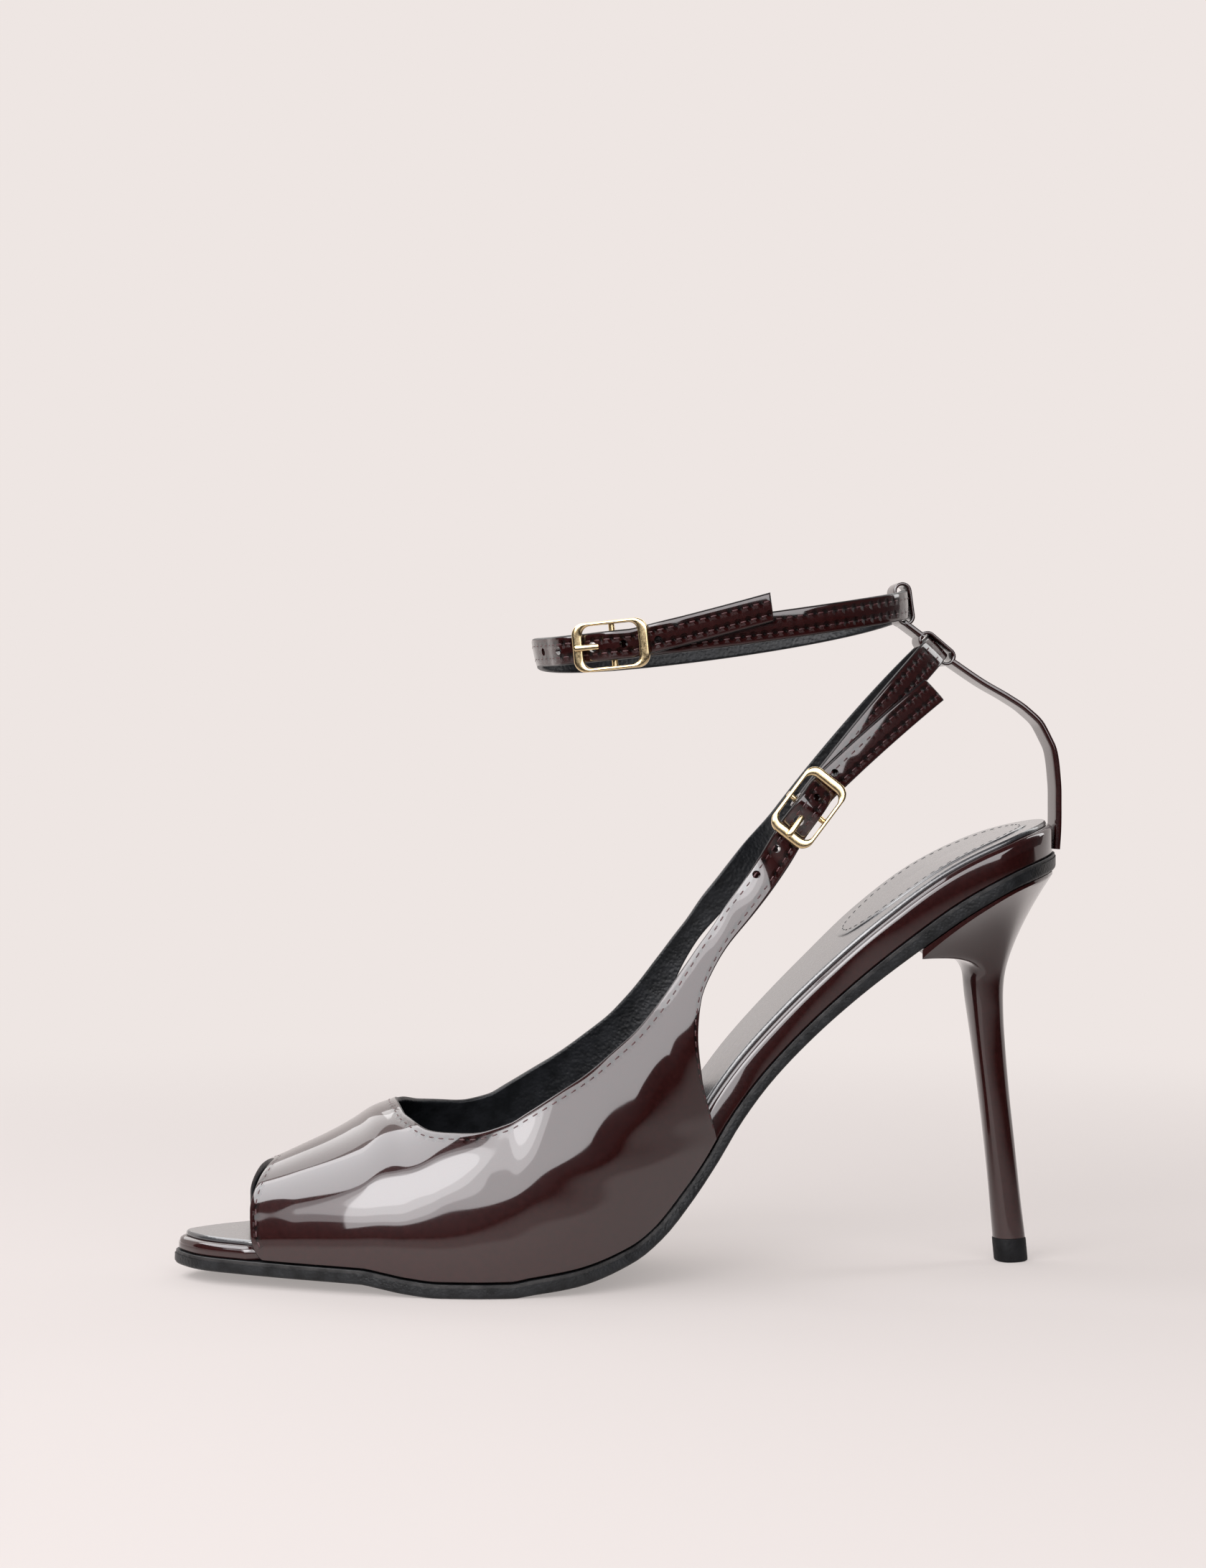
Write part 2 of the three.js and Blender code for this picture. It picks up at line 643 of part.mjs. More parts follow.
// Prong: an eye round the centre bar and an arm that lies on the end bar. grow widens it all round.
function prong(frame, grow = 0) {
  const eye = barRadius + gap + prongThickness + grow;
  const top = frameLevel + buckleThickness + gap / 2;
  const tip = -(endBarPlace + endBarWidth * 0.3) - grow;
  const heel = barLevel + barRadius + gap;
  const shape = new THREE.Shape();
  shape.absarc(0, barLevel, eye, 0, 2 * PI);
  const eyeHole = new THREE.Path().absarc(0, barLevel, barRadius + gap - grow * 0.5, 0, 2 * PI);
  if (grow === 0) shape.holes.push(eyeHole);
  const depth = prongWidth + 2 * grow;
  const ring = solidOf(acrossStrap(extruded(shape, depth, 0, 5)).applyMatrix4(frame));
  const arm = new THREE.Shape();
  arm.moveTo(-0.2, heel - grow);
  arm.lineTo(-endBarPlace + endBarWidth / 2, top - grow);
  arm.lineTo(tip, top - grow);
  arm.lineTo(tip, top + prongThickness * 0.8 + grow);
  arm.lineTo(-endBarPlace + endBarWidth / 2, top + prongThickness + grow);
  arm.lineTo(-0.2, heel + prongThickness * 0.8 + grow);
  const armSolid = solidOf(acrossStrap(extruded(arm, depth)).applyMatrix4(frame));
  const hole = new THREE.CylinderGeometry(barRadius + gap, barRadius + gap, depth * 2, 12);
  hole.applyMatrix4(new THREE.Matrix4().makeTranslation(0, 0, barLevel));
  const made = ring.add(armSolid);
  return grow > 0 ? made : made.subtract(solidOf(hole.applyMatrix4(frame)));
}

// A punched hole through a strap at u along the buckle's frame, square to the strap there.
function holeCutter(loop, seat, length, level) {
  const { point, lift } = liftAt(loop, seat, length, level);
  const { up, out } = loop.at(length);
  const along = up.clone().cross(out).normalize();
  const radius = holeDiameter / 2;
  const hole = new THREE.CylinderGeometry(radius, radius, strapThickness + gap, 10).rotateX(PI / 2);
  const centre = point.clone().addScaledVector(out, lift + strapThickness / 2);
  return solidOf(hole.applyMatrix4(new THREE.Matrix4().makeBasis(along, up, out).setPosition(centre)));
}

// Upper, with both ends of the sling: the holed strap on the outer side, and on the inner side the
// strap that goes round the back to the buckle.
const holedSteps = 19;
const fixedSteps = 15;
const ankleSteps = 46;
const backStrapSteps = 27;
const blockSteps = 9;

function neck(medialSide) {
  const row = upperRow(0, medialSide);
  const top = row[0].point;
  const edge = row[upperColumns - 1].point;
  const out = row[(upperColumns - 1) / 2].normal;
  const centre = top.clone().add(edge).multiplyScalar(0.5).addScaledVector(out, -upperWall);
  return { centre, up: top.clone().sub(edge).normalize(), out, half: top.distanceTo(edge) / 2 };
}

const lateralNeck = neck(false);
const medialNeck = neck(true);
const slingFront = lateralNeck.centre.clone().add(medialNeck.centre).multiplyScalar(0.5).setY(0);
const slingLoop = strapLoop({
  front: slingFront,
  back: vec(slingBackX, 0, slingBackZ),
  bow: slingBow,
  bowPower: 1,
  halfWidth: slingHalfWidth,
  squareness: 2.2,
  farDrop: slingFarDrop,
  from: PI / 2,
  to: -PI / 2,
  width: { share: (reach) => reach },
});
const ankleLoop = strapLoop({
  front: vec(ankleFrontX, 0, ankleFrontZ),
  back: vec(ankleBackX, 0, ankleBackZ),
  bow: ankleBow,
  bowPower: 0.5,
  halfWidth: ankleHalfWidth,
  squareness: 2.3,
  farDrop: ankleFarDrop,
  from: PI,
  to: -PI,
  width: { share: (reach) => (1 + reach) / 2 },
});

const slingBuckleAt = slingLoop.lengthAt(slingBuckleShare, true);
const ankleBuckleAt = ankleLoop.lengthAt(ankleBuckleShare, true);
const slingSeat = { frame: buckleFrame(slingLoop, slingBuckleAt), at: slingBuckleAt };
const ankleSeat = { frame: buckleFrame(ankleLoop, ankleBuckleAt), at: ankleBuckleAt };
const flatLevel = () => 0;

// Carries a strap over from its loop to the end of the upper, where its loop starts or ends.
function neckBlend(start, loopEnd) {
  const offset = start.centre.clone().sub(slingLoop.at(loopEnd).point);
  return (length) => ({ ...start, offset, share: 1 - smooth(abs(length - loopEnd) / neckReach) });
}

const tailShift = (buckleAt, length, most) => (at) =>
  most * max(0, (at - buckleAt - buckleLength / 4) / (length - buckleLength / 4));

function withHoles(solid, loop, seat) {
  let made = solid.subtract(prong(seat.frame, gap));
  for (const place of punchedHoles) {
    const at = seat.at + prongHoleAt + place * holePitch;
    made = made.subtract(holeCutter(loop, seat, at, holedLevel));
  }
  return made;
}

// The end of a strap that is folded round its buckle's centre bar.
function fixedEnd(loop, seat, to, columns) {
  const rows = strapRows(loop, seat, seat.at, to, fixedSteps, { level: flatLevel, columns });
  const { fold, cuts } = foldParts(seat.frame);
  return cuts.reduce((solid, cut) => solid.subtract(cut), gridSolid(rows.outer, rows.inner).add(fold));
}

const lastRow = upperRows.length - 1;

// All rows of the upper from the outer neck over the toe to the inner neck, as an outer and an inner
// grid. outward and inward are distances from the outer face, and reach lengthens each row.
function upperGrid(outward, inward, reach) {
  const outer = [];
  const inner = [];
  const steps = lastRow * rowSteps;
  for (let i = -steps; i <= steps; i++) {
    const row = upperRow(lastRow - abs(i) / rowSteps, i > 0, reach);
    outer.push(row.map(({ point, normal }) => point.clone().addScaledVector(normal, outward)));
    inner.push(row.map(({ point, normal }) => point.clone().addScaledVector(normal, inward)));
  }
  return { outer, inner };
}

function upper() {
  const { total } = slingLoop;
  const middle = total / 2;
  const wallAt = (distance) => lerp(upperWall, strapThickness, smooth(distance / neckReach));
  const holed = strapRows(slingLoop, slingSeat, slingBuckleAt + slingTailLength, neckStep, holedSteps, {
    level: holedLevel,
    columns: upperColumns,
    shift: tailShift(slingBuckleAt, slingTailLength, slingTailShift),
    thickness: wallAt,
    blend: neckBlend(lateralNeck, 0),
  });
  const vamp = upperGrid(0, -upperWall, 0);
  const inside = strapRows(slingLoop, slingSeat, total - neckStep, middle, fixedSteps, {
    level: flatLevel,
    columns: upperColumns,
    thickness: (length) => wallAt(total - length),
    blend: neckBlend(medialNeck, total),
  });
  const outer = [...holed.outer, ...vamp.outer, ...inside.outer];
  const inner = [...holed.inner, ...vamp.inner, ...inside.inner];
  const leather = withHoles(gridSolid(outer, inner), slingLoop, slingSeat);
  return leather.add(fixedEnd(slingLoop, slingSeat, middle, upperColumns));
}

function ankleStrap() {
  const { total } = ankleLoop;
  const middle = total / 2;
  const secondPass = { frame: ankleSeat.frame, at: total + ankleSeat.at };
  const rows = strapRows(ankleLoop, secondPass, middle, secondPass.at + ankleTailLength, ankleSteps, {
    level: holedLevel,
    shift: tailShift(secondPass.at, ankleTailLength, ankleTailShift),
  });
  const holed = withHoles(gridSolid(rows.outer, rows.inner), ankleLoop, secondPass);
  return holed.add(fixedEnd(ankleLoop, ankleSeat, middle, 2));
}

// Back strap: a doubled strap of one width, drawn in its side view, with a loop round each strap.
function ribbonShape(points, thickness) {
  const left = [];
  const right = [];
  points.forEach((point, i) => {
    const before = points[max(0, i - 1)];
    const after = points[min(points.length - 1, i + 1)];
    const side = after.clone().sub(before).normalize().rotateAround(new THREE.Vector2(), PI / 2);
    left.push(point.clone().addScaledVector(side, thickness / 2));
    right.push(point.clone().addScaledVector(side, -thickness / 2));
  });
  return new THREE.Shape([...left, ...right.reverse()]);
}

function stadium(centre, along, halfLength, radius) {
  const turn = Math.atan2(along.y, along.x);
  const shape = new THREE.Path();
  const end = along.clone().multiplyScalar(halfLength - radius);
  shape.absarc(centre.x + end.x, centre.y + end.y, radius, turn - PI / 2, turn + PI / 2);
  shape.absarc(centre.x - end.x, centre.y - end.y, radius, turn + PI / 2, turn + (3 * PI) / 2);
  return new THREE.Shape(shape.getPoints(6));
}

function backStrap() {
  const flat = (v) => new THREE.Vector2(v.x, v.z);
  const seat = flat(soleSurface(1, 0, soleAt(1) + gap));
  const start = seat.add(new THREE.Vector2(backStrapThickness / 2 + gap - soleLedge, 0));
  const slotFor = (loop) => {
    const { point, up, out } = loop.at(loop.total / 2);
    const centre = point.clone().addScaledVector(out, (strapThickness - slotSpare) / 2);
    return { centre: flat(centre), along: flat(up).normalize() };
  };
  const slotHalf = strapWidth / 2 + gap + slotSpare;
  const slotRadius = (strapThickness + slotSpare) / 2 + gap;
  const across = (shape) => {
    const geometry = new THREE.ExtrudeGeometry(shape, { depth: backStrapWidth, bevelEnabled: false });
    return solidOf(geometry.translate(0, 0, -backStrapWidth / 2).rotateX(PI / 2));
  };
  const lower = slotFor(slingLoop);
  const upperSlot = slotFor(ankleLoop);
  const ringAt = (slot) =>
    across(stadium(slot.centre, slot.along, slotHalf + loopWall, slotRadius + loopWall));
  const holeAt = (slot) => {
    const geometry = new THREE.ExtrudeGeometry(stadium(slot.centre, slot.along, slotHalf, slotRadius), {
      depth: backStrapWidth * 2,
      bevelEnabled: false,
    });
    return solidOf(geometry.translate(0, 0, -backStrapWidth).rotateX(PI / 2));
  };
  const endOf = (slot, side) =>
    slot.centre.clone().addScaledVector(slot.along, side * (slotHalf + loopWall / 2));
  const finish = endOf(lower, -1);
  const line = finish.clone().sub(start);
  const outward = new THREE.Vector2(line.y, -line.x);
  const points = Array.from({ length: backStrapSteps + 1 }, (_, i) => {
    const place = (i / backStrapSteps) * (backStrapLine.length - 1);
    return start
      .clone()
      .addScaledVector(line, column(backStrapLine, "along", null)(place))
      .addScaledVector(outward, column(backStrapLine, "out", null)(place));
  });
  const bridge = ribbonShape([endOf(lower, 1), endOf(upperSlot, -1)], backStrapThickness);
  return across(ribbonShape(points, backStrapThickness))
    .add(ringAt(lower))
    .add(ringAt(upperSlot))
    .add(across(bridge))
    .subtract(holeAt(lower))
    .subtract(holeAt(upperSlot));
}

// Heel: a D-shaped stem that widens upwards into the block under the seat, hollowed at the front.
const arcSteps = 7;
const frontSteps = 4;
const lipAlong = 1 - lipSetback / soleLength;

function heelRing(backPoint, frontPoint) {
  const ring = [];
  for (let i = 0; i <= 2 * arcSteps; i++) ring.push(backPoint(i / (2 * arcSteps)));
  for (let i = 1; i < frontSteps; i++) ring.push(frontPoint(i / frontSteps));
  return ring;
}

const heelCap = (() => {
  const cap = [];
  const corner = 2 * arcSteps;
  for (let i = 0; i < arcSteps; i++) {
    cap.push([i, i + 1, corner - i]);
    if (i + 1 < corner - i - 1) cap.push([i + 1, corner - i - 1, corner - i]);
  }
  for (let i = 0; i < frontSteps - 1; i++) cap.push([0, corner + i, corner + i + 1]);
  return cap;
})();

const stemFront = column(stemSections, "front", "height");
const stemBack = column(stemSections, "back", "height");
const stemWidth = column(stemSections, "width", "height");

function stemRing(share, grow = 0) {
  const front = soleLength * stemFront(share) - grow;
  const back = soleLength * stemBack(share) + grow;
  const half = (tipWidth * stemWidth(share)) / 2 + grow;
  const crease = lerp(front, back, breastShare);
  const z = stemHeight * share;
  return heelRing(
    (t) => vec(crease + (back - crease) * sin(PI * t), -half * cos(PI * t), z),
    (t) => vec(crease + (front - crease) * sin(PI * t), half * cos(PI * t), z),
  );
}

function seatRing() {
  const inset = 0.4;
  const at = (along, share) => {
    const inner = lerp(lipAlong, along, 1 - inset / lipSetback);
    const widths = halfWidths(along);
    const y = lerp(-(widths.lateral - inset), widths.medial - inset, share);
    return soleSurface(inner, y, -gap);
  };
  return heelRing(
    (t) => at(1 - (1 - lipAlong) * abs(cos(PI * t)), t < 0.5 ? 0 : 1),
    (t) => at(lipAlong + (lipHollow / soleLength) * sin(PI * t), (1 + cos(PI * t)) / 2),
  );
}

function heel() {
  const rings = stemSections.map(({ height }) => stemRing(height));
  const stem = rings[rings.length - 1];
  const seat = seatRing();
  const corner = 2 * arcSteps;
  const backwardAt = (i) => (i > corner ? 0 : sin((PI * i) / corner));
  for (let r = 1; r <= blockSteps; r++) {
    const v = r / blockSteps;
    rings.push(
      seat.map((target, i) => {
        const backward = backwardAt(i);
        const out = pow(v, lerp(flare.breast, flare.back, backward));
        const upward = lerp(1 - pow(1 - v, flare.under), v, backward);
        const band = lerp(lipDepth.breast, lipDepth.back, backward);
        const from = stem[i];
        return vec(
          lerp(from.x, target.x, out),
          lerp(from.y, target.y, out),
          lerp(from.z, target.z - band, upward),
        );
      }),
    );
  }
  rings.push(seat);
  return ringSolid(rings, heelCap);
}

function topPiece() {
  const foot = stemSections[0].height;
  const rows = [
    { z: 0, grow: -0.25 },
    { z: 0.3, grow: 0.15 },
    { z: tipHeight - gap, grow: 0.15 },
  ];
  const rake = (soleLength * (stemFront(foot) - stemFront(3 * foot))) / (2 * foot * stemHeight);
  const rings = rows.map(({ z, grow }) =>
    stemRing(foot, grow).map((point) => vec(point.x + rake * (tipHeight - z), point.y, z)),
  );
  return ringSolid(rings, heelCap);
}

const finishes = {
  patent: { color: 0x4a1c22, roughness: 0.16, metalness: 0 },
  lining: { color: 0x1a1a1c, roughness: 0.7, metalness: 0 },
  sole: { color: 0x26282b, roughness: 0.42, metalness: 0 },
  rubber: { color: 0x17181a, roughness: 0.6, metalness: 0 },
  brass: { color: 0xe3c78f, roughness: 0.25, metalness: 1 },
};

const clearance = (() => {
  const { outer, inner } = upperGrid(6, -upperWall - gap, 0.04);
  return gridSolid(outer, inner);
})();

const pieces = [
  ["outsole", outsole, "sole"],
  ["insole", () => insoleBlank().subtract(clearance), "patent"],
  ["sock", () => sockBlank().subtract(clearance), "lining"],
  ["heel", heel, "patent"],
  ["top_piece", topPiece, "rubber"],
  ["upper", upper, "patent"],
  ["back_strap", backStrap, "patent"],
  ["ankle_strap", ankleStrap, "patent"],
  ["sling_buckle", () => buckle(slingSeat.frame), "brass"],
  ["sling_prong", () => prong(slingSeat.frame), "brass"],
  ["ankle_buckle", () => buckle(ankleSeat.frame), "brass"],
  ["ankle_prong", () => prong(ankleSeat.frame), "brass"],
];

const shoe = new THREE.Group();
for (const [name, make, finish] of pieces) {
  const mesh = new THREE.Mesh(geometryOf(make()), new THREE.MeshStandardMaterial(finishes[finish]));
  mesh.name = name;
  shoe.add(mesh);
}
export default shoe;
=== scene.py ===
import bpy, math
import numpy as np
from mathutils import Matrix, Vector


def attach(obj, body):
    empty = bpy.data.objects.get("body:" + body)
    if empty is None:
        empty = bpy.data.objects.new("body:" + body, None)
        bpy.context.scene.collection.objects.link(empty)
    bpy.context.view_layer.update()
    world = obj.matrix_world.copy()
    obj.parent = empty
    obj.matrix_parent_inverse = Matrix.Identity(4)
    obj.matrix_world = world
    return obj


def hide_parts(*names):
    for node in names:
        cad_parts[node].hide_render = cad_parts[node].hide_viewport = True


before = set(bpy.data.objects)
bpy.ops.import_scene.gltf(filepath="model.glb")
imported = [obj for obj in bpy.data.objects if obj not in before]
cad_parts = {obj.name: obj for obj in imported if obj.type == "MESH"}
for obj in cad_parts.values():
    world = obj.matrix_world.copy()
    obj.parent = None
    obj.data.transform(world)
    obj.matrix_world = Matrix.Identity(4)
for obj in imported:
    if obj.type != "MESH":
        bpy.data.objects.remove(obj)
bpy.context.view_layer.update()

# Lengths are in millimetres until a mesh is made. They repeat the CAD part's own sizes.
mm = 0.001
sole = {
    "length": 218.2, "ballWidth": 72, "seatHeight": 98.9, "toeSpring": 3.4, "instepHeight": 72,
    "thickness": 4, "insole": 7.2, "sock": 0.9, "ledge": 0.8, "sockMargin": 1.6,
    "toeRound": 20, "heelRound": 22, "gap": 0.3, "ballShare": 0.3375, "superness": 2.35, "crestLean": 0.028,
}
upperSize = {"wall": 1.5, "edgeRound": 0.5, "throatRise": 6, "stitchInset": 1.9, "stitchPitch": 2.65}
strap = {"width": 7, "thickness": 1.5, "neckReach": 25, "lean": 0.085}
backStrap = {"width": 8, "thickness": 1.7, "loopWall": 0.9, "slotSpare": 0.8}
sling = {"halfWidth": 22.5, "backX": 114, "backZ": 153, "bow": 2.5, "power": 1, "farDrop": 4.5,
         "tail": 44, "shift": -6, "buckleShare": 0.255}
ankle = {"halfWidth": 25, "frontX": 15.5, "frontZ": 152, "backX": 105.5, "backZ": 164.2, "bow": -2.7,
         "power": 0.5, "farDrop": 1.5, "tail": 38, "shift": 4.5, "buckleShare": 0.175}
punch = {"diameter": 1.9, "pitch": 7.6, "prongAt": -4.6, "places": [-2, -1, 1, 2]}
buckleSize = {"length": 18.8, "height": 11.8, "thickness": 1.4, "endBar": 2.5, "rail": 0.9, "corner": 3,
              "centreBar": 1.5, "prongWidth": 1.4, "prongThickness": 0.9}
heelSize = {"stem": 68, "tip": 6, "tipWidth": 8, "lipSetback": 38.5, "lipHollow": 2, "breastDepth": 2.2,
            "backDepth": 0.7, "breastShare": 0.35, "breastPower": 2.7, "backPower": 1.55, "underPower": 2}

# along, lateral, medial, spring, rise, sole, insole, crest, outer bulge, inner bulge, lean
soleSections = np.array([
    (0.0004, 0.11, 0.195, 1, 0, 0.83, 0.44, 0.15, 0.01, 0.01, 1),
    (0.0232, 0.161, 0.217, 0.93, 0, 0.83, 0.44, 0.19, 0.01, 0.01, 1),
    (0.067, 0.204, 0.26, 0.88, 0, 0.83, 0.44, 0.246, 0.011, 0.011, 1),
    (0.1306, 0.306, 0.347, 0.82, 0, 0.83, 0.45, 0.331, 0.016, 0.016, 1),
    (0.1993, 0.41, 0.424, 0.75, 0, 0.83, 0.46, 0.436, 0.022, 0.022, 1),
    (0.2226, 0.437, 0.439, 0.5, 0, 0.83, 0.47, 0.49, 0.025, 0.025, 1),
    (0.246, 0.462, 0.453, 0.22, 0, 0.83, 0.48, 0.529, 0.027, 0.027, 1),
    (0.2838, 0.5, 0.468, 0, 0, 0.83, 0.5, 0.611, 0.031, 0.031, 1),
    (0.3375, 0.528, 0.472, 0, 0, 0.83, 0.53, 0.705, 0.035, 0.035, 1),
    (0.3604, 0.53, 0.468, 0, 0, 0.84, 0.55, 0.746, 0.038, 0.038, 1),
    (0.3832, 0.528, 0.458, 0, 0.0066, 0.88, 0.58, 0.792, 0.042, 0.042, 1),
    (0.429, 0.507, 0.424, 0, 0.0195, 0.92, 0.63, 0.877, 0.049, 0.049, 1),
    (0.4976, 0.431, 0.306, 0, 0.069, 0.84, 0.7, 0.966, 0.07, 0.08, 1),
    (0.5294, 0.389, 0.25, 0, 0.117, 0.77, 0.74, 0.992, 0.08, 0.094, 1),
    (0.5662, 0.347, 0.194, 0, 0.207, 0.74, 0.77, 1, 0.09, 0.11, 1),
    (0.5941, 0.312, 0.167, 0, 0.289, 0.7, 0.79, 0.975, 0.104, 0.119, 1),
    (0.6209, 0.292, 0.153, 0, 0.381, 0.7, 0.8, 0.944, 0.108, 0.123, 1),
    (0.6577, 0.271, 0.181, 0, 0.483, 0.7, 0.81, 0.9, 0.11, 0.107, 1),
    (0.7035, 0.264, 0.208, 0, 0.585, 0.74, 0.83, 0.9, 0.106, 0.096, 1),
    (0.7492, 0.271, 0.236, 0, 0.674, 0.8, 0.87, 0.9, 0.099, 0.088, 1),
    (0.8188, 0.306, 0.299, 0, 0.795, 0.93, 0.94, 0.9, 0.082, 0.076, 0.85),
    (0.8875, 0.326, 0.313, 0, 0.9, 1, 1, 0.9, 0.076, 0.076, 0.35),
    (0.9332, 0.329, 0.325, 0, 0.953, 1, 1, 0.9, 0.076, 0.076, 0),
    (1, 0.325, 0.325, 0, 1, 1, 1, 0.9, 0.076, 0.076, 0),
])
# top along, top angle, edge along, edge angle
upperRowTable = np.array([
    (0.6259, 48.1, 0.6383, 35.3), (0.5961, 46.7, 0.5957, 34.8), (0.5662, 45.4, 0.5737, 31),
    (0.5384, 44.5, 0.5691, 23.5), (0.5155, 43.5, 0.5746, 13.5), (0.4976, 42.6, 0.5931, 0),
    (0.4728, 41.6, 0.5473, 0), (0.429, 40, 0.4658, 0), (0.3832, 39.5, 0.3832, 0),
    (0.3385, 40.2, 0.3087, 0), (0.3007, 44.6, 0.2371, 0), (0.2739, 51.5, 0.1694, 0),
    (0.2579, 62.4, 0.0973, 0), (0.2515, 69, 0.0834, 13.6), (0.249, 75.5, 0.0827, 33.4),
    (0.2475, 82.5, 0.0923, 62), (0.2465, 90, 0.109, 90),
])
backStrapLine = np.array([(0, 0), (0.075, 0.05), (0.172, 0.107), (0.276, 0.163), (0.43, 0.22),
                          (0.53, 0.224), (0.631, 0.197), (0.725, 0.15), (0.842, 0.08), (1, 0)])
# height, front, back, width
stemTable = np.array([
    (0.088, 0.5932, 0.6304, 1), (0.26, 0.5882, 0.6242, 0.95), (0.44, 0.5823, 0.618, 0.96),
     (0.62, 0.5757, 0.6117, 1.02),
    (0.78, 0.5691, 0.6073, 1.1), (0.9, 0.5638, 0.6048, 1.24), (1, 0.5591, 0.6038, 1.45),
])


def curveThrough(x, y):  # smooth and without overshoot
    x, y = np.asarray(x, float), np.asarray(y, float)
    step = np.diff(x)
    rise = np.diff(y) / step
    slope = np.empty(len(x))
    slope[0], slope[-1] = rise[0], rise[-1]
    for i in range(1, len(x) - 1):
        if rise[i - 1] * rise[i] <= 0:
            slope[i] = 0
        else:
            a, b = 2 * step[i] + step[i - 1], step[i] + 2 * step[i - 1]
            slope[i] = (a + b) / (a / rise[i - 1] + b / rise[i])

    def value(at):
        at = np.asarray(at, float)
        i = np.clip(np.searchsorted(x, at, side="right") - 1, 0, len(step) - 1)
        h = step[i]
        t = np.clip((at - x[i]) / h, 0, 1)
        blend = t * t * (3 - 2 * t)
        return (y[i] * (1 - blend) + y[i + 1] * blend + slope[i] * h * t * (1 - t) ** 2
                - slope[i + 1] * h * t * t * (1 - t))
    return value


def smooth(t):
    k = np.clip(t, 0, 1)
    return k * k * (3 - 2 * k)


def unit(v):
    return v / np.maximum(np.linalg.norm(v, axis=-1, keepdims=True), 1e-12)


sectionNames = ["lateral", "medial", "spring", "rise", "sole", "insole", "crest", "outer", "inner", "lean"]
share = {name: curveThrough(soleSections[:, 0], soleSections[:, i + 1]) for i, name in enumerate(sectionNames)}
rowIndex = np.arange(len(upperRowTable))
rowShare = [curveThrough(rowIndex, upperRowTable[:, i]) for i in range(4)]
lastRow = len(upperRowTable) - 1


def alongOf(x): return x / sole["length"] + sole["ballShare"]
def xOf(along): return (along - sole["ballShare"]) * sole["length"]
def soleAt(along): return sole["thickness"] * share["sole"](along)
def insoleTop(along): return soleAt(along) + sole["gap"] + sole["insole"] * share["insole"](along)


def profile(along):
    def height(u): return sole["toeSpring"] * share["spring"](u) + sole["seatHeight"] * share["rise"](u)
    low, high = np.maximum(0, along - 1e-3), np.minimum(1, along + 1e-3)
    tilt = (height(high) - height(low)) / ((high - low) * sole["length"]) * share["lean"](along)
    long = np.sqrt(1 + tilt * tilt)
    return xOf(along), height(np.clip(along, 0, 1)), -tilt / long, 1 / long


def soleSurface(along, y, height):
    x, z, nx, nz = profile(along)
    return np.stack(np.broadcast_arrays(x + nx * height, y, z + nz * height), -1)


def layerHeight(x, heightAt):
    along = alongOf(x)
    for _ in range(5):
        nx = profile(along)[2]
        along = alongOf(x - nx * heightAt(along))
    _, z, _, nz = profile(along)
    return z + nz * heightAt(along)


def halfWidths(along):
    def roundEnd(distance, radius):
        return np.where(distance >= radius, 1, np.sqrt(np.maximum(0, 1 - (1 - distance / radius) ** 2)))
    ends = roundEnd(along * sole["length"], sole["toeRound"])
    ends = ends * roundEnd((1 - along) * sole["length"], sole["heelRound"])
    lateral, medial = sole["ballWidth"] * share["lateral"](along), sole["ballWidth"] * share["medial"](along)
    half, middle = (medial + lateral) / 2 * ends, (medial - lateral) / 2
    return half - middle, half + middle


def lastPoint(along, angle):
    x = xOf(along)
    lateral, medial = halfWidths(along)
    c, s = np.cos(angle), np.sin(angle)
    side = np.where(c > 0, lateral, medial) - sole["ledge"]
    bulge = sole["ballWidth"] * np.where(c > 0, share["outer"](along), share["inner"](along))
    out = side * np.abs(c) ** (2 / sole["superness"]) + bulge * np.abs(2 * s * c)
    y = -np.sign(c) * out + sole["ballWidth"] * sole["crestLean"] * s * s
    foot = layerHeight(x, lambda u: soleAt(u) + sole["gap"])
    crest = sole["instepHeight"] * share["crest"](along)
    z = foot + crest * np.sign(s) * np.abs(s) ** (2 / sole["superness"])
    return np.stack(np.broadcast_arrays(x, y, z), -1)


def lastNormal(along, angle):
    a = lastPoint(along + 2e-3, angle) - lastPoint(along - 2e-3, angle)
    b = lastPoint(along, angle + 5e-3) - lastPoint(along, angle - 5e-3)
    return unit(np.cross(a, b))


def upperPoint(place, medialSide, t):
    place = np.asarray(place, float)
    throat = upperSize["throatRise"] * smooth(1 - np.abs(place - 11.5) / 3.5) if medialSide else 0
    along = rowShare[0](place) * (1 - t) + rowShare[2](place) * t
    turn = np.radians((rowShare[1](place) + throat) * (1 - t) + rowShare[3](place) * t)
    return along, (math.pi - turn if medialSide else turn)


def rowOf(place, medialSide, shares):
    along, angle = upperPoint(place, medialSide, shares)
    return lastPoint(along, angle), lastNormal(along, angle)


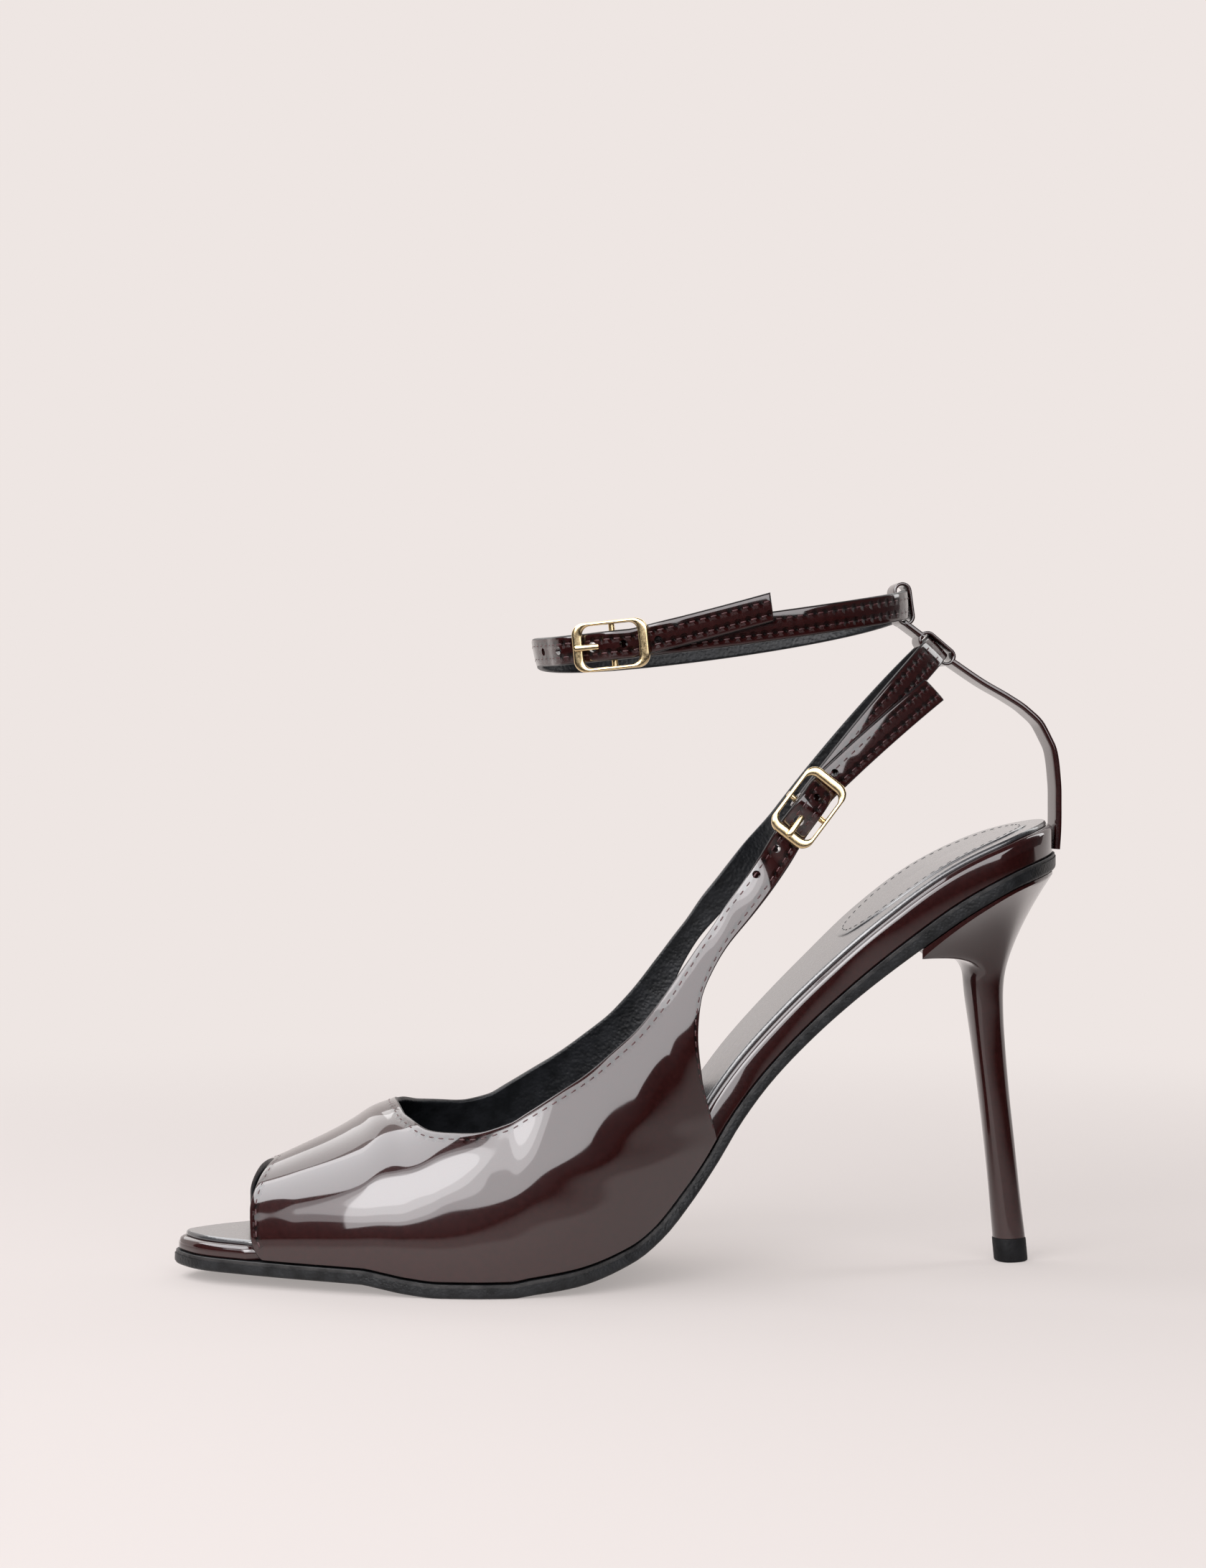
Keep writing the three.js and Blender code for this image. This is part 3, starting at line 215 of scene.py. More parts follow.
# Straps
def strapLoop(front, back, size, start, end, shareOf, samples=1200):
    front, back = np.asarray(front, float), np.asarray(back, float)
    turn = np.linspace(start, end, samples + 1)
    power = 2 / size["squareness"]
    reach = np.sign(np.cos(turn)) * np.abs(np.cos(turn)) ** power
    side = -np.sign(np.sin(turn)) * np.abs(np.sin(turn)) ** power
    part = shareOf(reach)
    points = front + (back - front) * part[:, None]
    slope = unit(back - front)
    up = np.array([-slope[2], 0, slope[0]])
    points[:, 2] += size["bow"] * np.maximum(0, 4 * part * (1 - part)) ** size["power"]
    points += up * (-size["farDrop"] * side / 2)[:, None]
    points[:, 1] = size["halfWidth"] * side
    lengths = np.concatenate([[0], np.cumsum(np.linalg.norm(np.diff(points, axis=0), axis=1))])
    middle = (front + back) / 2

    def at(distance):
        length = np.where(distance > lengths[-1], distance - lengths[-1], distance)
        def point(l):
            return np.stack([np.interp(l, lengths, points[:, k]) for k in range(3)], -1)
        low, high = np.maximum(0, length - 0.9), np.minimum(lengths[-1], length + 0.9)
        here, tangent = point(length), unit(point(high) - point(low))
        out = unit(np.cross(tangent, up))
        flat = np.stack([here[..., 0] - middle[0], here[..., 1], np.zeros_like(here[..., 0])], -1)
        out = np.where(np.sum(out * flat, -1, keepdims=True) < 0, -out, out)
        across = unit(up - tangent * np.sum(tangent * up, -1, keepdims=True))
        return here, across, out, tangent

    def lengthAt(s, lateral=True):
        target = front[0] + (back[0] - front[0]) * s
        for i in range(1, len(points)):
            if (points[i - 1, 0] - target) * (points[i, 0] - target) <= 0 and (points[i, 1] < 0) == lateral:
                return lengths[i]
    return {"at": at, "total": lengths[-1], "lengthAt": lengthAt}


def buckleFrame(loop, length):
    here, _, out, _ = loop["at"](np.array(length))
    quarter = buckleSize["length"] / 4
    u = unit(loop["at"](np.array(length + quarter))[0] - loop["at"](np.array(length - quarter))[0])
    n = unit(out - u * np.dot(out, u))
    return {"origin": here, "u": u, "w": np.cross(n, u), "n": n, "at": length}


gap = sole["gap"]
barRadius = buckleSize["centreBar"] / 2
foldRadius = barRadius + gap + backStrap["loopWall"]
barLevel = foldRadius
overBar = 2 * foldRadius + gap
tailLevel = strap["thickness"] + gap
frameLevel = tailLevel + strap["thickness"] + gap
endBarPlace = (buckleSize["length"] - buckleSize["endBar"]) / 2


def holedLevel(u):
    tailSide = np.where(u > 0, tailLevel, tailLevel * smooth((u + 22) / 13))
    return tailSide + (overBar - tailLevel) * (1 - smooth(np.abs(u) / (endBarPlace - 0.6)))


def flatLevel(u): return np.zeros_like(u)


def liftAt(loop, seat, length, level):
    here, across, out, tangent = loop["at"](length)
    n = np.sum((here - seat["origin"]) * seat["n"], -1)
    u = length - seat["at"]
    far = smooth((np.abs(u) - buckleSize["length"] / 2) / 8)
    lift = (level(u) - n) * (1 - far) + level(u) * far
    return here, across, out, lift


def tailShift(at, length, most):
    quarter = buckleSize["length"] / 4
    return lambda l: most * np.maximum(0, (l - at - quarter) / (length - quarter))


necks = {}
for side in (False, True):
    point, normal = rowOf(np.array(0.0), side, np.linspace(0, 1, 7))
    necks[side] = {"centre": (point[0] + point[-1]) / 2 - normal[3] * upperSize["wall"],
                   "up": unit(point[0] - point[-1]), "out": normal[3],
                   "half": np.linalg.norm(point[0] - point[-1]) / 2}
slingFront = (necks[False]["centre"] + necks[True]["centre"]) / 2 * np.array([1, 0, 1])
sling["squareness"], ankle["squareness"] = 2.2, 2.3
slingBack = (sling["backX"], 0, sling["backZ"])
slingLoop = strapLoop(slingFront, slingBack, sling, math.pi / 2, -math.pi / 2, lambda r: r)
ankleLoop = strapLoop((ankle["frontX"], 0, ankle["frontZ"]), (ankle["backX"], 0, ankle["backZ"]), ankle,
                      math.pi, -math.pi, lambda r: (1 + r) / 2)
slingSeat = buckleFrame(slingLoop, slingLoop["lengthAt"](sling["buckleShare"]))
ankleSeat = buckleFrame(ankleLoop, ankleLoop["lengthAt"](ankle["buckleShare"]))
ankleSecond = dict(ankleSeat, at=ankleLoop["total"] + ankleSeat["at"])
print("lines of the straps are set")


# Materials
def newGroup(name, inputs, outputs):
    group = bpy.data.node_groups.new(name, "ShaderNodeTree")
    for label, kind, value in inputs:
        socket = group.interface.new_socket(name=label, in_out="INPUT", socket_type=kind)
        if value is not None:
            socket.default_value = value
    for label, kind in outputs:
        group.interface.new_socket(name=label, in_out="OUTPUT", socket_type=kind)
    return group, group.nodes.new("NodeGroupInput"), group.nodes.new("NodeGroupOutput")


def mathNode(tree, operation, a, b=None, clamp=False):
    node = tree.nodes.new("ShaderNodeMath")
    node.operation, node.use_clamp = operation, clamp
    for socket, value in zip(node.inputs, (a, b)):
        if value is None:
            continue
        if isinstance(value, (int, float)):
            socket.default_value = value
        else:
            tree.links.new(value, socket)
    return node.outputs[0]


def stitchGroup():  # puckers and needle holes beside one edge; the hole mask also drives the painted shade that darkens the holes
    group, given, result = newGroup(
        "stitchPuckers",
        [("Edge", "NodeSocketVector", None), ("Pitch", "NodeSocketFloat", .265),
         ("Inset", "NodeSocketFloat", .19)],
        [("Height", "NodeSocketFloat"), ("PaintedHoleShade", "NodeSocketFloat")])
    parts = group.nodes.new("ShaderNodeSeparateXYZ")
    group.links.new(given.outputs["Edge"], parts.inputs[0])
    turns = mathNode(group, "DIVIDE", parts.outputs[0], given.outputs["Pitch"])
    saw = mathNode(group, "SUBTRACT", mathNode(group, "FRACT", mathNode(group, "ADD", turns, .5)), .5)
    dx = mathNode(group, "MULTIPLY", saw, given.outputs["Pitch"])
    dy = mathNode(group, "SUBTRACT", parts.outputs[1], given.outputs["Inset"])
    def spot(rx, ry):
        x = mathNode(group, "POWER", mathNode(group, "ABSOLUTE", mathNode(group, "DIVIDE", dx, rx)), 2)
        y = mathNode(group, "POWER", mathNode(group, "ABSOLUTE", mathNode(group, "DIVIDE", dy, ry)), 2)
        return mathNode(group, "SUBTRACT", 1, mathNode(group, "ADD", x, y), True)
    hole = spot(.06, .05)
    pucker = spot(.1, .11)
    groove = mathNode(group, "SUBTRACT", 1, mathNode(group, "ABSOLUTE", mathNode(group, "DIVIDE", dy, .09)), True)
    low = mathNode(group, "ADD", mathNode(group, "MULTIPLY", pucker, .55), mathNode(group, "MULTIPLY", groove, .35))
    low = mathNode(group, "ADD", low, mathNode(group, "MULTIPLY", hole, .5))
    group.links.new(mathNode(group, "MULTIPLY", low, -1), result.inputs["Height"])
    group.links.new(hole, result.inputs["PaintedHoleShade"])
    return group


def waveGroup():  # soft uneven film: long waves and a faint grain
    group, given, result = newGroup(
        "softWaves",
        [("Place", "NodeSocketVector", None), ("Long", "NodeSocketFloat", 22.0),
         ("Fine", "NodeSocketFloat", 900.0)],
        [("Height", "NodeSocketFloat"), ("Grain", "NodeSocketFloat")])
    for label, detail, output in (("Long", 2.0, "Height"), ("Fine", 3.0, "Grain")):
        noise = group.nodes.new("ShaderNodeTexNoise")
        noise.inputs["Detail"].default_value = detail
        group.links.new(given.outputs["Place"], noise.inputs["Vector"])
        group.links.new(given.outputs[label], noise.inputs["Scale"])
        group.links.new(noise.outputs[0], result.inputs[output])
    return group


def grainGroup():  # pebbled leather grain
    group, given, result = newGroup(
        "leatherGrain", [("Place", "NodeSocketVector", None), ("Scale", "NodeSocketFloat", 1100.0)],
        [("Height", "NodeSocketFloat"), ("Shade", "NodeSocketFloat")])
    cells = group.nodes.new("ShaderNodeTexVoronoi")
    cells.feature = "SMOOTH_F1"
    noise = group.nodes.new("ShaderNodeTexNoise")
    noise.inputs["Scale"].default_value = 260
    noise.inputs["Detail"].default_value = 4
    group.links.new(given.outputs["Place"], cells.inputs["Vector"])
    group.links.new(given.outputs["Place"], noise.inputs["Vector"])
    group.links.new(given.outputs["Scale"], cells.inputs["Scale"])
    height = mathNode(group, "ADD", cells.outputs["Distance"], noise.outputs[0])
    group.links.new(height, result.inputs["Height"])
    group.links.new(noise.outputs[0], result.inputs["Shade"])
    return group


puckers, waves, grain = stitchGroup(), waveGroup(), grainGroup()


def newMaterial(name, colour, roughness, metallic=0, coat=0, coatRoughness=.03, specular=.5):
    material = bpy.data.materials.new(name)
    material.use_nodes = True
    shader = material.node_tree.nodes["Principled BSDF"]
    shader.inputs["Base Color"].default_value = (*colour, 1)
    shader.inputs["Roughness"].default_value = roughness
    shader.inputs["Metallic"].default_value = metallic
    shader.inputs["Coat Weight"].default_value = coat
    shader.inputs["Coat Roughness"].default_value = coatRoughness
    shader.inputs["Specular IOR Level"].default_value = specular
    place = material.node_tree.nodes.new("ShaderNodeTexCoord")
    return material, material.node_tree, shader, place.outputs["Object"]


def placed(tree, group, **inputs):
    node = tree.nodes.new("ShaderNodeGroup")
    node.node_tree = group
    for label, value in inputs.items():
        if isinstance(value, (int, float)):
            node.inputs[label].default_value = value
        else:
            tree.links.new(value, node.inputs[label])
    return node.outputs


def bumped(tree, shader, height, strength, distance, before=None):
    bump = tree.nodes.new("ShaderNodeBump")
    bump.inputs["Strength"].default_value = strength
    bump.inputs["Distance"].default_value = distance
    tree.links.new(height, bump.inputs["Height"])
    if before is not None:
        tree.links.new(before, bump.inputs["Normal"])
    tree.links.new(bump.outputs[0], shader.inputs["Normal"])
    return bump.outputs[0]


def tinted(tree, shader, factor, dark, light, low=.35, high=.65):
    ramp = tree.nodes.new("ShaderNodeValToRGB")
    ramp.color_ramp.elements[0].position, ramp.color_ramp.elements[0].color = low, (*dark, 1)
    ramp.color_ramp.elements[1].position, ramp.color_ramp.elements[1].color = high, (*light, 1)
    tree.links.new(factor, ramp.inputs[0])
    tree.links.new(ramp.outputs[0], shader.inputs["Base Color"])
    return ramp.outputs[0]


def roughened(tree, shader, factor, low, high):
    span = tree.nodes.new("ShaderNodeMapRange")
    span.inputs["To Min"].default_value, span.inputs["To Max"].default_value = low, high
    tree.links.new(factor, span.inputs["Value"])
    tree.links.new(span.outputs[0], shader.inputs["Roughness"])


def patentLeather(name, stitched):
    material, tree, shader, place = newMaterial(name, (.015, .0022, .002), .3,
                                                coat=1, coatRoughness=.055, specular=.1)
    shader.inputs["Coat IOR"].default_value = 1.75
    film = placed(tree, waves, Place=place)
    colour = tinted(tree, shader, film["Grain"], (.013, .0018, .0017), (.019, .0028, .0026))
    normal = bumped(tree, shader, film["Height"], .3, .0006)
    roughened(tree, shader, film["Grain"], .24, .36)
    if stitched:
        heights, holeShades = [], []
        for key in ("UVMap", "farEdge"):
            edge = tree.nodes.new("ShaderNodeUVMap")
            edge.uv_map = key
            seam = placed(tree, puckers, Edge=edge.outputs[0])
            heights.append(seam["Height"])
            holeShades.append(seam["PaintedHoleShade"])
        bumped(tree, shader, mathNode(tree, "MINIMUM", *heights), 1, .0011, normal)
        mix = tree.nodes.new("ShaderNodeMix")  # for colours: factor 0, first 6, second 7, result 2
        mix.data_type = "RGBA"
        # painted shade: this near-black replaces the leather colour inside the needle holes, where shade falls
        mix.inputs[7].default_value = (.004, .002, .002, 1)
        tree.links.new(mathNode(tree, "MAXIMUM", *holeShades), mix.inputs[0])
        tree.links.new(colour, mix.inputs[6])
        tree.links.new(mix.outputs[2], shader.inputs["Base Color"])
    return material


def grainedLeather(name, dark, light, roughness, scale, depth=.00025, specular=.15, coat=0):
    material, tree, shader, place = newMaterial(name, dark, roughness, 0, coat, .16, specular)
    skin = placed(tree, grain, Place=place, Scale=scale)
    tinted(tree, shader, skin["Shade"], dark, light)
    roughened(tree, shader, skin["Shade"], roughness - .08, roughness + .1)
    bumped(tree, shader, skin["Height"], .5, depth)
    return material


patent = patentLeather("oxbloodPatent", False)
patentSewn = patentLeather("oxbloodPatentSewn", True)
lining = grainedLeather("blackLining", (.0035, .004, .0047), (.008, .0088, .0105), .4, 1300, specular=.25)
edgePaint = grainedLeather("edgePaint", (.004, .003, .0033), (.008, .005, .0055), .36, 700, .00012, .3)
sockSkin = grainedLeather("greySock", (.017, .017, .0185), (.032, .032, .035), .27, 1500, .00008, .9, 1)
soleSkin = grainedLeather("satinSole", (.004, .0045, .005), (.012, .013, .0145), .4, 1700, .0002, .3)
tipRubber = grainedLeather("tipRubber", (.004, .004, .0045), (.008, .008, .009), .6, 900)
thread = grainedLeather("burgundyThread", (.03, .0075, .009), (.06, .016, .018), .35, 2600, .0001, .5)
gold, goldTree, goldShader, goldPlace = newMaterial("paleGold", (.8, .61, .34), .16, metallic=1)
goldFilm = placed(goldTree, waves, Place=goldPlace, Long=160.0, Fine=1500.0)
tinted(goldTree, goldShader, goldFilm["Grain"], (.76, .57, .31), (.84, .66, .39))
roughened(goldTree, goldShader, goldFilm["Grain"], .1, .24)
bumped(goldTree, goldShader, goldFilm["Height"], .1, .00015)
# painted highlight: a lighter grey than the sole, standing in for the highlight along the outsole's top edge
soleTopHighlight = grainedLeather("soleTopPaintedHighlight", (.012, .012, .0125), (.03, .029, .029), .42, 900, specular=.3)
padThread = grainedLeather("greyThread", (.03, .03, .032), (.06, .06, .063), .6, 2600, .0001)
print("materials are made")


# Pieces. Each starts as a primitive grid that is laid over rows of points: rows run over its length and
# columns round its section. kinds holds a material number for each column.
def gridPiece(name, points, kinds, uvMaps=None):
    rows, columns = points.shape[:2]
    bpy.ops.object.select_all(action="DESELECT")
    bpy.ops.mesh.primitive_grid_add(x_subdivisions=rows - 1, y_subdivisions=columns - 1, size=2)
    piece = bpy.context.object
    piece.name = name
    mesh = piece.data
    flat = np.empty(len(mesh.vertices) * 3)
    mesh.vertices.foreach_get("co", flat)
    flat = flat.reshape(-1, 3)
    i = np.rint((flat[:, 0] + 1) / 2 * (rows - 1)).astype(int)
    j = np.rint((flat[:, 1] + 1) / 2 * (columns - 1)).astype(int)
    mesh.vertices.foreach_set("co", (points[i, j] * mm).ravel())
    corner = np.empty(len(mesh.loops), int)
    mesh.loops.foreach_get("vertex_index", corner)
    lowest = j[corner].reshape(-1, 4).min(axis=1)
    mesh.polygons.foreach_set("material_index", np.asarray(kinds)[lowest].astype(int))
    for key, value in (uvMaps or {}).items():
        layer = mesh.uv_layers.get(key) or mesh.uv_layers.new(name=key)
        layer.data.foreach_set("uv", value[i, j][corner].astype(float).ravel())
    bpy.ops.object.mode_set(mode="EDIT")
    bpy.ops.mesh.select_all(action="SELECT")
    bpy.ops.mesh.remove_doubles(threshold=1e-6)
    bpy.ops.mesh.normals_make_consistent(inside=False)
    bpy.ops.object.mode_set(mode="OBJECT")
    return piece


def activate(piece):
    bpy.ops.object.select_all(action="DESELECT")
    piece.select_set(True)
    bpy.context.view_layer.objects.active = piece


def applied(piece, kind, **values):
    activate(piece)
    modifier = piece.modifiers.new(kind.title(), kind)
    for key, value in values.items():
        setattr(modifier, key, value)
    bpy.ops.object.modifier_apply(modifier=modifier.name)


def smoothed(piece, angle=45):
    activate(piece)
    bpy.ops.object.shade_smooth_by_angle(angle=math.radians(angle))
    return piece


def capped(piece):  # open ends are filled flat
    activate(piece)
    bpy.ops.object.mode_set(mode="EDIT")
    bpy.ops.mesh.select_mode(type="EDGE")
    bpy.ops.mesh.select_all(action="DESELECT")
    bpy.ops.mesh.select_non_manifold()
    bpy.ops.mesh.edge_face_add()
    bpy.ops.mesh.select_mode(type="VERT")
    bpy.ops.mesh.select_all(action="SELECT")
    bpy.ops.mesh.normals_make_consistent(inside=False)
    bpy.ops.object.mode_set(mode="OBJECT")
    return piece


def joined(name, pieces):
    bpy.ops.object.select_all(action="DESELECT")
    for piece in pieces:
        piece.select_set(True)
    bpy.context.view_layer.objects.active = pieces[0]
    bpy.ops.object.join()
    pieces[0].name = name
    return pieces[0]


def dressed(piece, materials, nodes=()):
    for number, material in enumerate(materials):
        if number < len(piece.data.materials):
            piece.data.materials[number] = material
        else:
            piece.data.materials.append(material)
    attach(piece, "root")
    if nodes:
        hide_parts(*nodes)
    return piece


def between(lengths, line, at):
    return np.stack([np.interp(at, lengths, line[:, k]) for k in range(3)], -1)


def lengthsOf(line):
    return np.concatenate([[0], np.cumsum(np.linalg.norm(np.diff(line, axis=0), axis=1))])


def seamLine(points, normals, inset, far):
    p, n = (points[:, ::-1], normals[:, ::-1]) if far else (points, normals)
    seam = [(between(lengthsOf(a), a, inset), between(lengthsOf(a), b, inset)) for a, b in zip(p, n)]
    line, away = np.array([s[0] for s in seam]), unit(np.array([s[1] for s in seam]))
    return line, away, lengthsOf(line)


stitchSpots = []


def sewn(line, away, lengths, stitched, pitch):
    for place in np.arange(pitch / 2, lengths[-1], pitch):
        if stitched[min(np.searchsorted(lengths, place), len(stitched) - 1)]:
            forward = unit(between(lengths, line, place + .3) - between(lengths, line, place - .3))
            seat = between(lengths, line, place)
            stitchSpots.append((seat, forward, unit(between(lengths, away, place)), pitch))


# A sheet of leather with rounded edges. fromEnd is each row's distance from a cut end.
def leatherSheet(name, points, normals, thickness, edge, fromEnd, sewnNear, sewnFar, count=30, inset=None):
    inset = inset or upperSize["stitchInset"]
    turn = np.linspace(0, math.pi / 2, 5)
    near = edge * (1 - np.cos(turn))
    outer, inner, nearBy, farBy = [], [], [], []
    for p, n, e in zip(points, normals, fromEnd):
        lengths = lengthsOf(p)
        total = lengths[-1]
        s = np.concatenate([near, np.linspace(edge, total - edge, count)[1:-1], total - near[::-1]])
        inward = np.maximum(0, edge - np.minimum(s, total - s)) ** 2 + max(0, edge - e) ** 2
        depth = edge - np.sqrt(np.maximum(0, edge ** 2 - inward))
        here, away = between(lengths, p, s), unit(between(lengths, n, s))
        outer.append(here - away * depth[:, None])
        inner.append(here - away * (thickness - depth)[:, None])
        nearBy.append(s)
        farBy.append(total - s)
    outer, inner, nearBy, farBy = (np.array(a) for a in (outer, inner, nearBy, farBy))
    ring = np.concatenate([outer, inner[:, ::-1], outer[:, :1]], 1)
    first, last = (outer[0] + inner[0]) / 2, (outer[-1] + inner[-1]) / 2
    close = lambda middle: np.concatenate([middle, middle[::-1], middle[:1]])[None]
    ring = np.concatenate([close(first), ring, close(last)])
    lines = [seamLine(points, normals, inset, far) for far in (False, True)]
    maps = {}
    edges = zip(("UVMap", "farEdge"), (nearBy, farBy), lines, (sewnNear, sewnFar))
    for key, by, (line, away, lengths), stitched in edges:
        by = np.where(np.asarray(stitched)[:, None], by, 90)
        by = np.concatenate([by, by[:, ::-1], by[:, :1]], 1)
        along = np.repeat(lengths[:, None], by.shape[1], 1)
        both = np.stack([along, by], -1) / 10
        maps[key] = np.concatenate([both[:1], both, both[-1:]])
        sewn(line, away, lengths, stitched, upperSize["stitchPitch"])
    width = outer.shape[1]
    kinds = np.array([0] * (width - 1) + [1] + [2] * (width - 1) + [1])
    kinds[:3] = kinds[width - 4:width - 1] = 1
    return smoothed(gridPiece(name, ring, kinds, maps), 60)


# A bar with a rounded flat section: halfWide along wide, halfHigh along high.
def roundedBar(name, path, wide, high, halfWide, halfHigh, looped=False, steps=24, power=5, kinds=None):
    turn = np.linspace(0, 2 * math.pi, steps + 1)
    c, s = np.cos(turn), np.sin(turn)
    c, s = np.sign(c) * np.abs(c) ** (2 / power), np.sign(s) * np.abs(s) ** (2 / power)
    halfWide = np.broadcast_to(halfWide, len(path)).astype(float)
    halfHigh = np.broadcast_to(halfHigh, len(path)).astype(float)
    ring = (path[:, None] + wide[:, None] * (halfWide[:, None] * c)[..., None]
            + high[:, None] * (halfHigh[:, None] * s)[..., None])
    if not looped:
        middle = lambda k: np.repeat(path[k][None, None], steps + 1, 1)
        ring = np.concatenate([middle(0), ring, middle(-1)])
    return smoothed(gridPiece(name, ring, np.zeros(steps, int) if kinds is None else kinds), 50)


# The upper: the holed strap, the vamp from its outer to its inner neck, and the strap round the back.
def endedLengths(start, stop, step, edge, startCut, stopCut):
    sign = 1 if stop > start else -1
    total = abs(stop - start)
    small = edge * (1 - np.cos(np.linspace(0, math.pi / 2, 5)))
    middle = np.linspace(edge if startCut else 0, total - edge if stopCut else total, int(total / step) + 2)
    if startCut:
        middle = np.concatenate([small[:-1], middle])
    if stopCut:
        middle = np.concatenate([middle, total - small[::-1][1:]])
    fromEnd = np.minimum(middle if startCut else 99, total - middle if stopCut else 99)
    return start + sign * middle, np.broadcast_to(fromEnd, len(middle))


def strapRows(loop, seat, lengths, level, shift=None, blend=None, columns=65):
    here, across, out, lift = liftAt(loop, seat, lengths, level)
    centre = here + out * lift[:, None]
    if shift is not None:
        centre = centre + across * shift(lengths)[:, None]
    half = np.full(len(lengths), strap["width"] / 2)
    across, out = unit(across + out * strap["lean"]), unit(out - across * strap["lean"])
    if blend is not None:
        neck, loopEnd = blend
        part = 1 - smooth(np.abs(lengths - loopEnd) / strap["neckReach"])
        centre = centre + (neck["centre"] - loop["at"](np.array(float(loopEnd)))[0]) * part[:, None]
        across = unit(across + (neck["up"] - across) * part[:, None])
        out = unit(out + (neck["out"] - out) * part[:, None])
        half = half + (neck["half"] - half) * part
    side = np.linspace(1, -1, columns)
    normals = np.repeat(out[:, None], columns, 1)
    points = (centre[:, None] + across[:, None] * (half[:, None] * side)[..., None]
              + normals * (strap["thickness"] + .15 * (1 - side ** 2))[None, :, None])
    return points, normals


def vampRows(steps=14, columns=65):
    points, normals = [], []
    for index in range(-lastRow * steps, lastRow * steps + 1):
        place, inner = lastRow - abs(index) / steps, index > 0
        coarse = np.linspace(0, 1, 65)
        length = lengthsOf(lastPoint(*upperPoint(place, inner, coarse)))
        even = np.interp(np.linspace(0, length[-1], columns), length, coarse)
        p, n = rowOf(place, inner, even)
        points.append(p)
        normals.append(n)
    return np.array(points), np.array(normals)


def easedRows(points, seam, reach=14):  # takes the kink out where two stretches meet
    kernel = np.exp(-np.linspace(-2, 2, 2 * reach + 1) ** 2)
    kernel /= kernel.sum()
    fixed = points.copy()
    for row in range(seam - reach, seam + reach + 1):
        part = smooth(1 - abs(row - seam) / reach)
        mean = np.tensordot(kernel, points[row - reach:row + reach + 1], axes=(0, 0))
        fixed[row] = points[row] * (1 - part) + mean * part
    return fixed


slingAt, slingTotal = slingSeat["at"], slingLoop["total"]
edgeRound = upperSize["edgeRound"]
holedLengths, holedEnds = endedLengths(slingAt + sling["tail"], 3, .9, edgeRound, True, False)
holedP, holedN = strapRows(slingLoop, slingSeat, holedLengths, holedLevel,
                           tailShift(slingAt, sling["tail"], sling["shift"]), (necks[False], 0))
vampP, vampN = vampRows()
roundLengths, roundEnds = endedLengths(slingTotal - 3, slingAt - .4, .9, edgeRound, False, True)
roundP, roundN = strapRows(slingLoop, slingSeat, roundLengths, flatLevel, None, (necks[True], slingTotal))
upperP, upperN = np.concatenate([holedP, vampP, roundP]), np.concatenate([holedN, vampN, roundN])
firstVamp, lastVamp = len(holedP), len(holedP) + len(vampP)
for seam in (firstVamp, lastVamp):
    upperP = easedRows(upperP, seam)
    upperN = unit(easedRows(upperN, seam))

# Dents and creases of the vamp: place, part of the row, reach along both in mm, turn in degrees, depth
creases = [
    (12.6, .42, 24, 8, 8, .06), (11, .55, 24, 7, -12, .06), (9.8, .35, 20, 6, 22, .07),
    (8.9, .62, 18, 5, -18, .09), (8.2, .3, 14, 4.5, 25, .1), (7.3, .55, 15, 4, -25, .11),
    (6.7, .34, 10, 3, 24, .11), (6, .6, 12, 3, -40, .12), (5.4, .42, 10, 2.6, 34, .11), (4.4, .4, 9, 2.6, 12, .08),
]
for inner in (False, True):
    for place, spot, longReach, shortReach, turn, depth in creases:
        row = firstVamp + int(round((lastRow - place) * (14 if inner else -14))) + lastRow * 14
        centre = upperP[row, int(spot * 64)]
        onward = unit(upperP[row + 1, int(spot * 64)] - upperP[row - 1, int(spot * 64)])
        downward = unit(np.cross(upperN[row, int(spot * 64)], onward))
        a, b = math.cos(math.radians(turn)), math.sin(math.radians(turn))
        away = upperP - centre
        u, v = away @ (onward * a + downward * b), away @ (downward * a - onward * b)
        near = np.exp(-(u / longReach) ** 2 - (v / shortReach) ** 2)
        ridge = np.exp(-(u / longReach) ** 2 - ((v - 2 * shortReach) / shortReach) ** 2)
        upperP = upperP - upperN * ((near - .6 * ridge) * depth)[..., None]

vampPlace = lastRow - np.abs(np.arange(-lastRow * 14, lastRow * 14 + 1)) / 14
farStitched = np.ones(len(upperP), bool)
farStitched[firstVamp:lastVamp] = (vampPlace < 4.9) | (vampPlace > 12.4)
upperEnds = np.concatenate([holedEnds, np.full(len(vampP), 99.0), roundEnds])
everyRow = np.ones(len(upperP), bool)
upperPiece = leatherSheet("upperLeather", upperP, upperN, upperSize["wall"], edgeRound, upperEnds, everyRow,
                          farStitched, 44)
print("upper", len(upperPiece.data.polygons), "faces")

ankleTotal = ankleLoop["total"]
ankleLengths, ankleEnds = endedLengths(ankleSeat["at"] - .4, ankleSecond["at"] + ankle["tail"], .9, edgeRound,
                                       True, True)


def anklePass(lengths):  # the first round lies flat, the second lies on the bar and the buckle
    first = strapRows(ankleLoop, ankleSeat, lengths, flatLevel)
    second = strapRows(ankleLoop, ankleSecond, lengths, holedLevel,
                       tailShift(ankleSecond["at"], ankle["tail"], ankle["shift"]))
    later = (lengths > ankleTotal / 2 + ankleSeat["at"] / 2)[:, None, None]
    return np.where(later, second[0], first[0]), np.where(later, second[1], first[1])


ankleP, ankleN = anklePass(ankleLengths)
everyRow = np.ones(len(ankleP), bool)
anklePiece = leatherSheet("ankleStrap", ankleP, ankleN, strap["thickness"], edgeRound, ankleEnds,
                          everyRow, everyRow, 14)
print("straps are laid")


